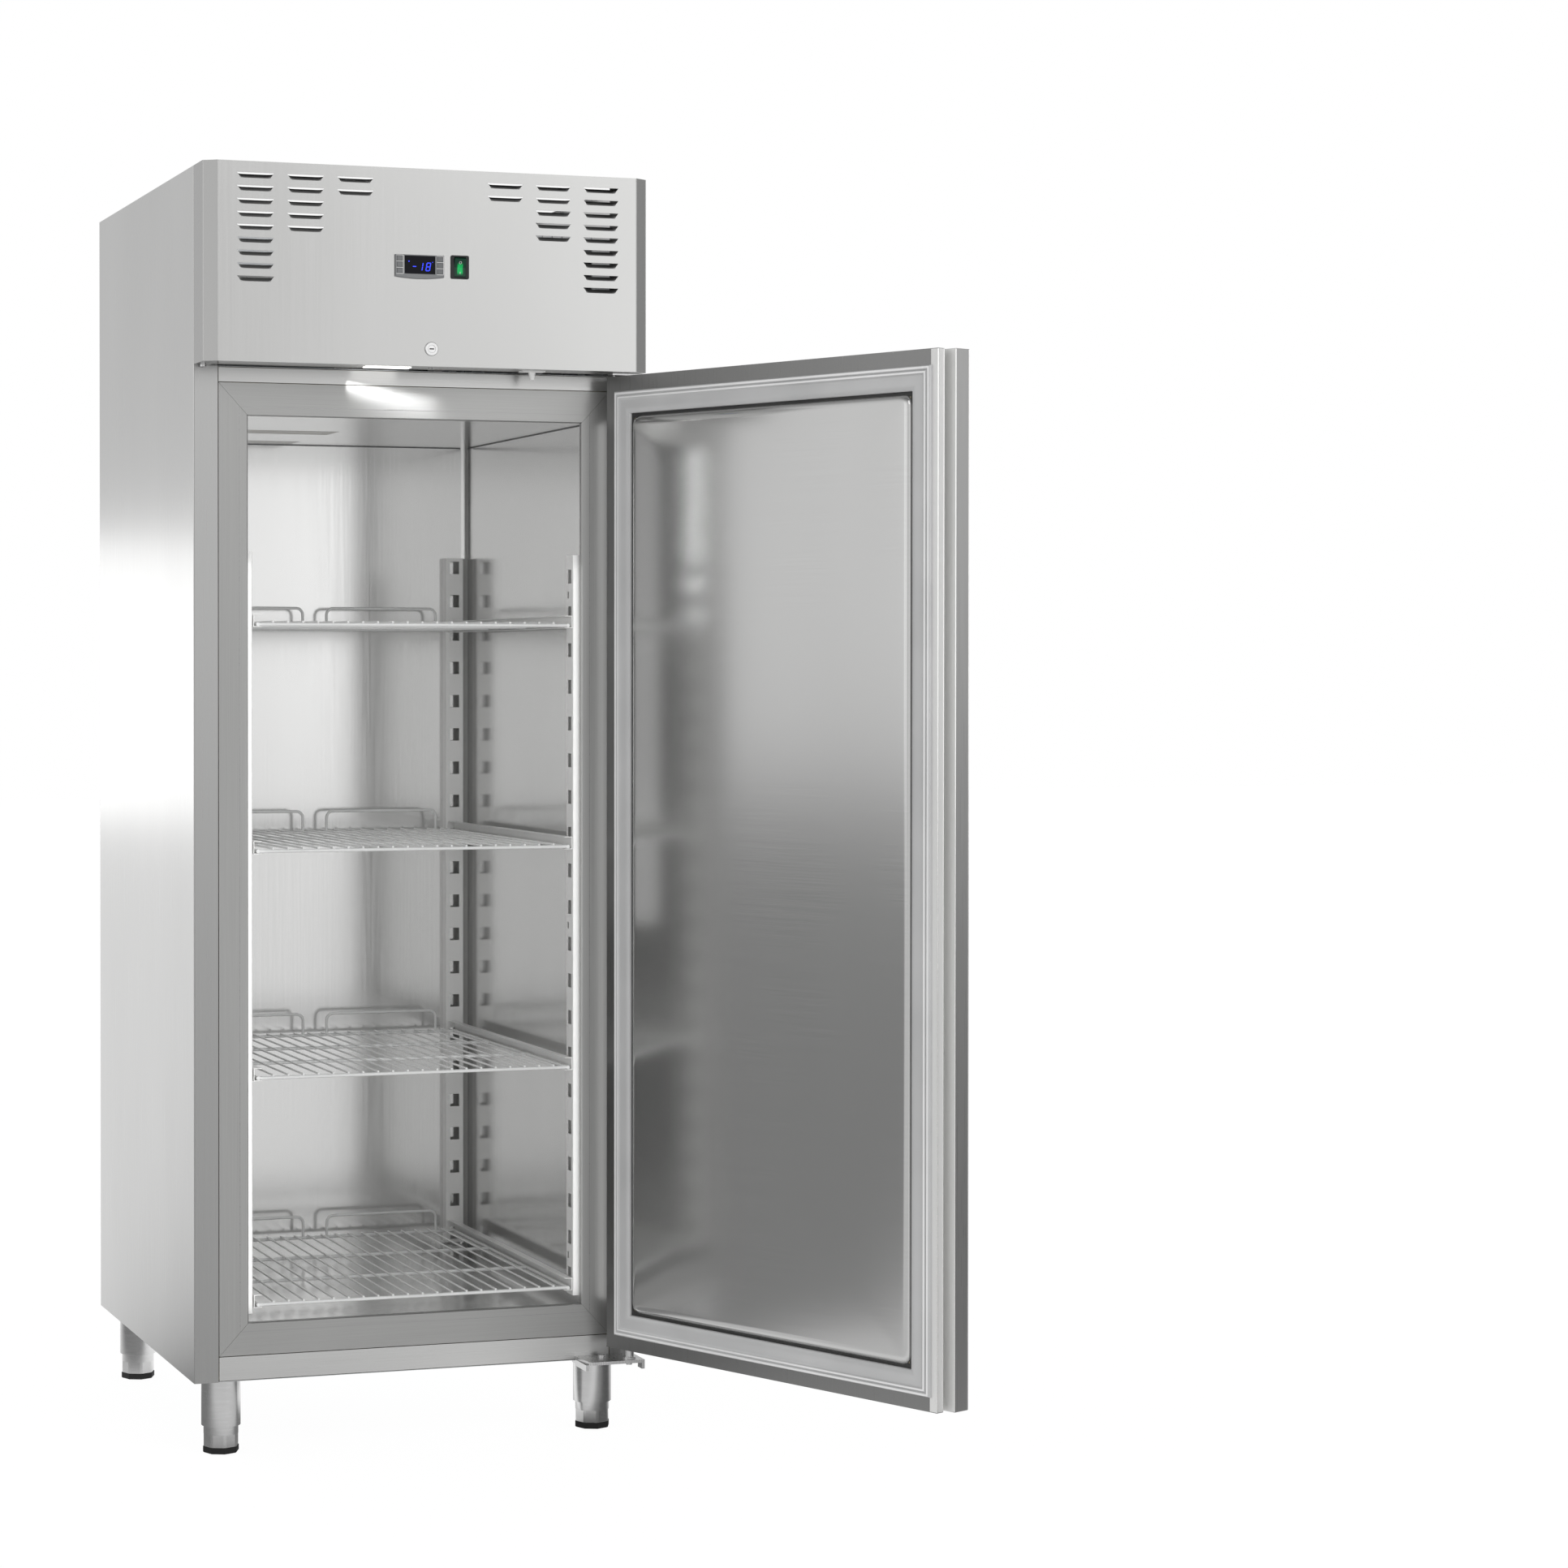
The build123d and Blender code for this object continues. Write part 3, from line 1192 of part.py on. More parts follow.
shroud_front = condenser_y[1] + shroud_gap
shroud_back = shroud_front + shroud_depth
condenser_fan_centre = (sum(condenser_x) / 2, shroud_front + shroud_depth / 2, sum(condenser_z) / 2)
with BuildPart() as condenser_shroud:
    x, y, z = condenser_fan_centre
    block(condenser_x, (shroud_front, shroud_back), (deck_level, condenser_z[1]))
    rod((x, shroud_front, z), (x, shroud_back, z), fan_radius + fan_clear, Mode.SUBTRACT)
    boss_front = shroud_back
    boss_back = shroud_back + strut_width + spindle_radius
    block(condenser_x, (boss_front, boss_front + strut_width / 2),
          (z - strut_width / 2, z + strut_width / 2))
    rod((x, boss_front, z), (x, boss_back, z), fan_hub_radius)
    rod((x, boss_front, z), (x, boss_front + strut_width + pipe_gap, z),
        spindle_radius + pin_play, Mode.SUBTRACT)
save(condenser_shroud, "condenser_shroud")
fan("condenser_fan", condenser_fan_centre, fan_radius, boss_front + strut_width)

# Compressor: a welded can on a foot plate with rubber grommets
can_low = deck_level + compressor_lift + sheet * 3
with BuildPart() as compressor:
    place = (compressor_x, compressor_y)
    rod((*place, can_low), (*place, can_low + compressor_height), compressor_radius)
    fillet(compressor.edges().filter_by(GeomType.CIRCLE), compressor_dome)
    block((compressor_x - compressor_foot, compressor_x + compressor_foot),
          (compressor_y - compressor_foot_depth, compressor_y + compressor_foot_depth),
          (deck_level + compressor_lift, can_low))
    block((compressor_x - compressor_radius / 2, compressor_x + compressor_radius / 2),
          (compressor_y - compressor_radius / 2, compressor_y + compressor_radius / 2),
          (can_low, can_low + compressor_dome))
    for dx in (-1, 1):
        for dy in (-1, 1):
            x = compressor_x + dx * (compressor_foot - grommet_inset)
            y = compressor_y + dy * (compressor_foot_depth - grommet_inset)
            rod((x, y, deck_level), (x, y, can_low + 2 * sheet), grommet_radius)
save(compressor, "compressor")

# Electrics box: a folded cover over the terminals
with BuildPart() as electrics_box:
    high = deck_level + electrics_height
    block(electrics_x, electrics_y, (deck_level, high))
    block((electrics_x[0] + electrics_wall, electrics_x[1] - electrics_wall),
          (electrics_y[0] + electrics_wall, electrics_y[1] - electrics_wall),
          (deck_level, high - electrics_wall), Mode.SUBTRACT)
save(electrics_box, "electrics_box")


def pipe(points):
    # A bent copper pipe.
    with BuildLine(floor) as path:
        FilletPolyline(*points, radius=pipe_bend)
    with BuildSketch(Plane(path.line @ 0, z_dir=path.line % 0)) as section:
        Circle(pipe_radius)
    sweep(section.sketch, path=path.line)


# Pipework between the compressor, the condenser and the evaporator
with BuildPart() as pipework:
    hot_z = can_low + discharge_height
    cold_z = can_low + suction_height
    corridor = condenser_y[1] + pipe_corridor
    right_x = condenser_x[1] + 2 * pipe_bend
    coil_mid = sum(condenser_y) / 2
    pipe(((compressor_x, compressor_y - compressor_radius - pipe_gap, hot_z),
          (compressor_x, corridor, hot_z), (right_x, corridor, hot_z), (right_x, coil_mid, hot_z),
          (condenser_x[1] + pipe_gap, coil_mid, hot_z)))
    left_x = condenser_x[0] - 2 * pipe_bend
    low_z = condenser_z[0] + liquid_height
    pipe(((condenser_x[0] - pipe_gap, coil_mid, low_z), (left_x, coil_mid, low_z),
          (left_x, corridor, low_z), (sum(cover_x) / 2, corridor, low_z),
          (sum(cover_x) / 2, cover_y[0] - pipe_gap, low_z)))
    pipe(((cover_x[1] + pipe_gap, supply_y[0], cold_z), (compressor_x, supply_y[0], cold_z),
          (compressor_x, compressor_y + compressor_radius + pipe_gap, cold_z)))
save(pipework, "pipework")

# Rear vent panel of the compartment, with the hole for the power inlet
vent_low = deck_level + fit_gap
vent_high = body_top - sheet - fit_gap
with BuildPart() as rear_vent_panel:
    block((bend_radius, body_width - bend_radius), (back_inner, body_depth - sheet),
          (vent_low, vent_high))
    block((bend_radius, body_width - bend_radius), (back_inner - rear_flange, back_inner + sheet / 2),
          (vent_high - sheet, vent_high))
    with BuildSketch(front.offset(-back_inner)) as slots:
        with Locations((body_width / 2, (vent_low + vent_high) / 2 + vent_lift)):
            with GridLocations(vent_slot_length + vent_pitch, vent_pitch, vent_columns, vent_rows):
                SlotOverall(vent_slot_length, vent_slot_height)
    extrude(slots.sketch, amount=-2 * sheet, mode=Mode.SUBTRACT)
    rod((inlet_x, back_inner - sheet, inlet_z), (inlet_x, body_depth, inlet_z),
        gland_radius + fit_gap, Mode.SUBTRACT)
save(rear_vent_panel, "rear_vent_panel")

# Power inlet: a cable gland with a nut on each side of the rear panel
with BuildPart() as power_inlet:
    outside = body_depth - sheet
    rod((inlet_x, back_inner - gland_nut, inlet_z), (inlet_x, outside + gland_out, inlet_z),
        gland_radius)
    for start in (back_inner - gland_nut, outside):
        with BuildSketch(front.offset(-start)) as nut:
            with Locations((inlet_x, inlet_z)):
                RegularPolygon(gland_nut_radius, 6)
        extrude(nut.sketch, amount=-gland_nut)
    rod((inlet_x, back_inner - 2 * gland_nut, inlet_z),
        (inlet_x, outside + 2 * gland_out, inlet_z), gland_bore, Mode.SUBTRACT)
save(power_inlet, "power_inlet")
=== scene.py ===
import json
from math import cos, pi, radians, sin, tan

import bmesh
import bpy
from mathutils import Matrix, Vector
from mathutils.bvhtree import BVHTree


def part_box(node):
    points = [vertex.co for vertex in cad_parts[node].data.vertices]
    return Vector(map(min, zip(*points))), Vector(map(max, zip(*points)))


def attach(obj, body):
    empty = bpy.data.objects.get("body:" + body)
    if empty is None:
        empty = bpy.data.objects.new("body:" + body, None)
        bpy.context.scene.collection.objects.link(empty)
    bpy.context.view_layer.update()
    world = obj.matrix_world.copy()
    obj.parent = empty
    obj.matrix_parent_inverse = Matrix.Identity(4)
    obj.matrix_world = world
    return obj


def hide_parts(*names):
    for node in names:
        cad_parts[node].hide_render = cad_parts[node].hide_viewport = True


# Upright stainless storage refrigerator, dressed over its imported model. Metres throughout; a place
# written in millimetres is in cabinet terms: x from the left side, y from the front of the body
# towards the back, z from the floor.
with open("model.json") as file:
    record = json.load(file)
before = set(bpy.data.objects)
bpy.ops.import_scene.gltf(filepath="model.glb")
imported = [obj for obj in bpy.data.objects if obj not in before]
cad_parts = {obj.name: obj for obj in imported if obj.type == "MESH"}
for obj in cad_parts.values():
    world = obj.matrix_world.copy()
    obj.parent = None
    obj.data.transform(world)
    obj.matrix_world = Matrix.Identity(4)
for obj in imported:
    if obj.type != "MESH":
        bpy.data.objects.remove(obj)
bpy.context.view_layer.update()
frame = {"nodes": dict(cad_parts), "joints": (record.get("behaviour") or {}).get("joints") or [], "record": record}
nodes = frame["nodes"]
joints = {joint["name"]: joint for joint in frame["joints"]}
corner = Vector((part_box("side_panel_left")[0].x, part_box("bottom_bar")[0].y, 0))
print("model loaded:", len(nodes), "nodes")

hingePoint = Vector(joints["door_hinge"]["pos_m"])
doorOpen = radians(-joints["door_hinge"]["range_deg"][0])
swing = (Matrix.Translation(hingePoint) @ Matrix.Rotation(doorOpen, 4, "Z")
         @ Matrix.Translation(-hingePoint))
doorBack = -10.0  # the door's inner face when it is closed
bodyWidth = 740.0
edgeBlur = 0.0002  # half the width over which one finish passes into another
grainDepth = 0.0002


def spot(x, y, z):
    return corner + Vector((x, y, z)) / 1000


def finish(name, bm, material, body, angle=35):
    bmesh.ops.remove_doubles(bm, verts=bm.verts, dist=1e-6)
    bmesh.ops.recalc_face_normals(bm, faces=bm.faces)
    mesh = bpy.data.meshes.new(name)
    bm.to_mesh(mesh)
    bm.free()
    mesh.materials.append(material)
    for face in mesh.polygons:
        face.use_smooth = True
    mesh.set_sharp_from_angle(angle=radians(angle))
    piece = bpy.data.objects.new(name, mesh)
    bpy.context.scene.collection.objects.link(piece)
    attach(piece, body)
    return piece


def place(low, high):  # the matrix that turns a unit cube into this block
    middle = (low + high) / 2
    size = high - low
    return Matrix.Translation(middle) @ Matrix.Diagonal((*size, 1))


def addBlock(bm, low, high, rounding=0.0, steps=2):
    made = bmesh.ops.create_cube(bm, size=1, matrix=place(low, high))
    if rounding:
        edges = list({edge for vert in made["verts"] for edge in vert.link_edges})
        bmesh.ops.bevel(bm, geom=edges, offset=rounding, segments=steps, affect="EDGES",
                        profile=0.5, material=-1, clamp_overlap=True)
    return made


def addRod(bm, start, end, radius, steps=24, tipRadius=None):
    along = end - start
    turn = along.to_track_quat("Z", "Y").to_matrix().to_4x4()
    matrix = Matrix.Translation((start + end) / 2) @ turn
    return bmesh.ops.create_cone(bm, cap_ends=True, segments=steps, radius1=radius,
                                 radius2=radius if tipRadius is None else tipRadius,
                                 depth=along.length, matrix=matrix)


# Camera at the photograph's place: its principal point is off the middle, so the lens is shifted
view = {"place": (-1266.66, -5616.66, 1250.83), "yaw": 18.10, "pitch": -0.66, "lens": 82.80,
        "shiftX": 0.1594, "shiftY": -0.0435}
camera = bpy.data.objects.new("camera", bpy.data.cameras.new("camera"))
bpy.context.scene.collection.objects.link(camera)
camera.location = spot(*view["place"])
camera.rotation_euler = (radians(90 + view["pitch"]), 0, radians(-view["yaw"]))
camera.data.sensor_width = 36
camera.data.lens = view["lens"]
camera.data.shift_x = view["shiftX"]
camera.data.shift_y = view["shiftY"]
camera.data.clip_end = 60
bpy.context.scene.camera = camera
print("camera placed")


# Materials
def newMaterial(name):
    material = bpy.data.materials.new(name)
    material.use_nodes = True
    tree = material.node_tree
    shader = tree.nodes["Principled BSDF"]
    coords = tree.nodes.new("ShaderNodeTexCoord")
    return material, tree, shader, coords


def stretchedNoise(tree, coords, scale, detail=2.0, rough=0.5):
    mapping = tree.nodes.new("ShaderNodeMapping")
    mapping.inputs["Scale"].default_value = scale
    noise = tree.nodes.new("ShaderNodeTexNoise")
    noise.inputs["Scale"].default_value = 1.0
    noise.inputs["Detail"].default_value = detail
    noise.inputs["Roughness"].default_value = rough
    tree.links.new(coords.outputs["Object"], mapping.inputs["Vector"])
    tree.links.new(mapping.outputs["Vector"], noise.inputs["Vector"])
    return noise.outputs["Fac"]


def spread(tree, value, low, high, fromLow=0.3, fromHigh=0.7):  # noise mostly stays in 0.3 to 0.7
    node = tree.nodes.new("ShaderNodeMapRange")
    node.inputs["From Min"].default_value = fromLow
    node.inputs["From Max"].default_value = fromHigh
    node.inputs["To Min"].default_value = low
    node.inputs["To Max"].default_value = high
    tree.links.new(value, node.inputs["Value"])
    return node.outputs["Result"]


def tint(tree, value, dark, light, fromLow=0.3, fromHigh=0.7):
    ramp = tree.nodes.new("ShaderNodeValToRGB")
    ramp.color_ramp.elements[0].position = fromLow
    ramp.color_ramp.elements[0].color = (*dark, 1)
    ramp.color_ramp.elements[1].position = fromHigh
    ramp.color_ramp.elements[1].color = (*light, 1)
    tree.links.new(value, ramp.inputs["Fac"])
    return ramp.outputs["Color"]


def bump(tree, shader, height, strength, distance):
    node = tree.nodes.new("ShaderNodeBump")
    node.inputs["Strength"].default_value = strength
    node.inputs["Distance"].default_value = distance
    tree.links.new(height, node.inputs["Height"])
    tree.links.new(node.outputs["Normal"], shader.inputs["Normal"])


def smoothMask(tree, value, low, high):  # 0 below low, 1 above high
    node = tree.nodes.new("ShaderNodeMapRange")
    node.interpolation_type = "SMOOTHSTEP"
    node.inputs["From Min"].default_value = low
    node.inputs["From Max"].default_value = high
    tree.links.new(value, node.inputs["Value"])
    return node.outputs["Result"]


def between(tree, mask, first, second):  # the first colour where the mask is 0
    mix = tree.nodes.new("ShaderNodeMix")
    mix.data_type = "RGBA"
    # a mix node's colour sockets are its inputs 6 and 7 and its output 2
    for socket, value in ((mix.inputs[6], first), (mix.inputs[7], second)):
        if isinstance(value, tuple):
            socket.default_value = (*value, 1)
        else:
            tree.links.new(value, socket)
    tree.links.new(mask, mix.inputs[0])
    return mix.outputs[2]


def joined(tree, operation, first, second):  # one step of arithmetic
    node = tree.nodes.new("ShaderNodeMath")
    node.operation = operation
    for socket, value in zip(node.inputs, (first, second)):
        if isinstance(value, float):
            socket.default_value = value
        else:
            tree.links.new(value, socket)
    return node.outputs["Value"]


def mitred(tree, coords, upright, level):  # the frame's rails meet at 45 degrees
    low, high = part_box("door_frame")
    parts = tree.nodes.new("ShaderNodeSeparateXYZ")
    tree.links.new(coords.outputs["Object"], parts.inputs["Vector"])
    middle = (low + high) / 2
    sideways = joined(tree, "ABSOLUTE", joined(tree, "SUBTRACT", parts.outputs["X"], middle.x), 0.0)
    upwards = joined(tree, "ABSOLUTE", joined(tree, "SUBTRACT", parts.outputs["Z"], middle.z), 0.0)
    ahead = joined(tree, "SUBTRACT", upwards, sideways)
    mitre = (high.z - low.z - high.x + low.x) / 2
    mask = smoothMask(tree, ahead, mitre - edgeBlur, mitre + edgeBlur)
    return joined(tree, "ADD", joined(tree, "MULTIPLY", mask, level),
                  joined(tree, "MULTIPLY", joined(tree, "SUBTRACT", 1.0, mask), upright))


# Painted shade: the base colour is scaled darker where the piece passes a plane
def paintedShade(material, direction, start, share):  # darker where the piece passes a plane
    tree = material.node_tree
    shader = tree.nodes["Principled BSDF"]
    coords = tree.nodes["Texture Coordinate"]
    reach = tree.nodes.new("ShaderNodeVectorMath")
    reach.operation = "DOT_PRODUCT"
    reach.inputs[1].default_value = direction
    tree.links.new(coords.outputs["Object"], reach.inputs[0])
    mask = smoothMask(tree, reach.outputs["Value"], start - edgeBlur, start + edgeBlur)
    colour = shader.inputs["Base Color"].links[0].from_socket
    darker = tree.nodes.new("ShaderNodeVectorMath")
    darker.operation = "SCALE"
    darker.inputs["Scale"].default_value = share
    tree.links.new(colour, darker.inputs[0])
    tree.links.new(between(tree, mask, colour, darker.outputs["Vector"]), shader.inputs["Base Color"])
    return material


def brushed(name, look):
    material, tree, shader, coords = newMaterial(name)
    shader.inputs["Metallic"].default_value = look.get("metal", 1.0)
    grain = stretchedNoise(tree, coords, look["grain"], 3.0, 0.6)
    if look.get("mitred"):
        across = stretchedNoise(tree, coords, look["mitred"], 3.0, 0.6)
        grain = mitred(tree, coords, grain, across)
    cloud = stretchedNoise(tree, coords, look["cloud"], 2.0, 0.5)
    mixed = tree.nodes.new("ShaderNodeMath")
    mixed.operation = "MULTIPLY_ADD"
    mixed.inputs[1].default_value = look["grainShare"]
    tree.links.new(grain, mixed.inputs[0])
    tree.links.new(spread(tree, cloud, 0.0, 1 - look["grainShare"], 0.0, 1.0), mixed.inputs[2])
    tree.links.new(tint(tree, mixed.outputs["Value"], look["dark"], look["light"]),
                   shader.inputs["Base Color"])
    tree.links.new(spread(tree, grain, *look["rough"]), shader.inputs["Roughness"])
    if look.get("stretch"):
        shader.inputs["Anisotropic"].default_value = look["stretch"]
        shader.inputs["Anisotropic Rotation"].default_value = look.get("turn", 0.0)
        tangent = tree.nodes.new("ShaderNodeTangent")
        tangent.direction_type = "RADIAL"
        tangent.axis = look.get("axis", "Z")
        tree.links.new(tangent.outputs["Tangent"], shader.inputs["Tangent"])
    bump(tree, shader, grain, look["bump"], grainDepth)
    return material


def moulded(name, look):
    material, tree, shader, coords = newMaterial(name)
    fine = stretchedNoise(tree, coords, (look["texture"],) * 3, 3.0, 0.6)
    cloud = stretchedNoise(tree, coords, (9.0, 9.0, 9.0), 2.0, 0.5)
    tree.links.new(tint(tree, cloud, look["dark"], look["light"]), shader.inputs["Base Color"])
    tree.links.new(spread(tree, fine, *look["rough"]), shader.inputs["Roughness"])
    shader.inputs["Coat Weight"].default_value = look.get("coat", 0.0)
    shader.inputs["Coat Roughness"].default_value = 0.08
    shader.inputs["Specular IOR Level"].default_value = look.get("shine", 0.5)
    if look.get("metal"):
        shader.inputs["Metallic"].default_value = look["metal"]
    if look.get("glow"):
        shader.inputs["Emission Color"].default_value = (*look["glow"], 1)
        shader.inputs["Emission Strength"].default_value = look["glowStrength"]
    bump(tree, shader, fine, look.get("bump", 0.1), grainDepth)
    return material


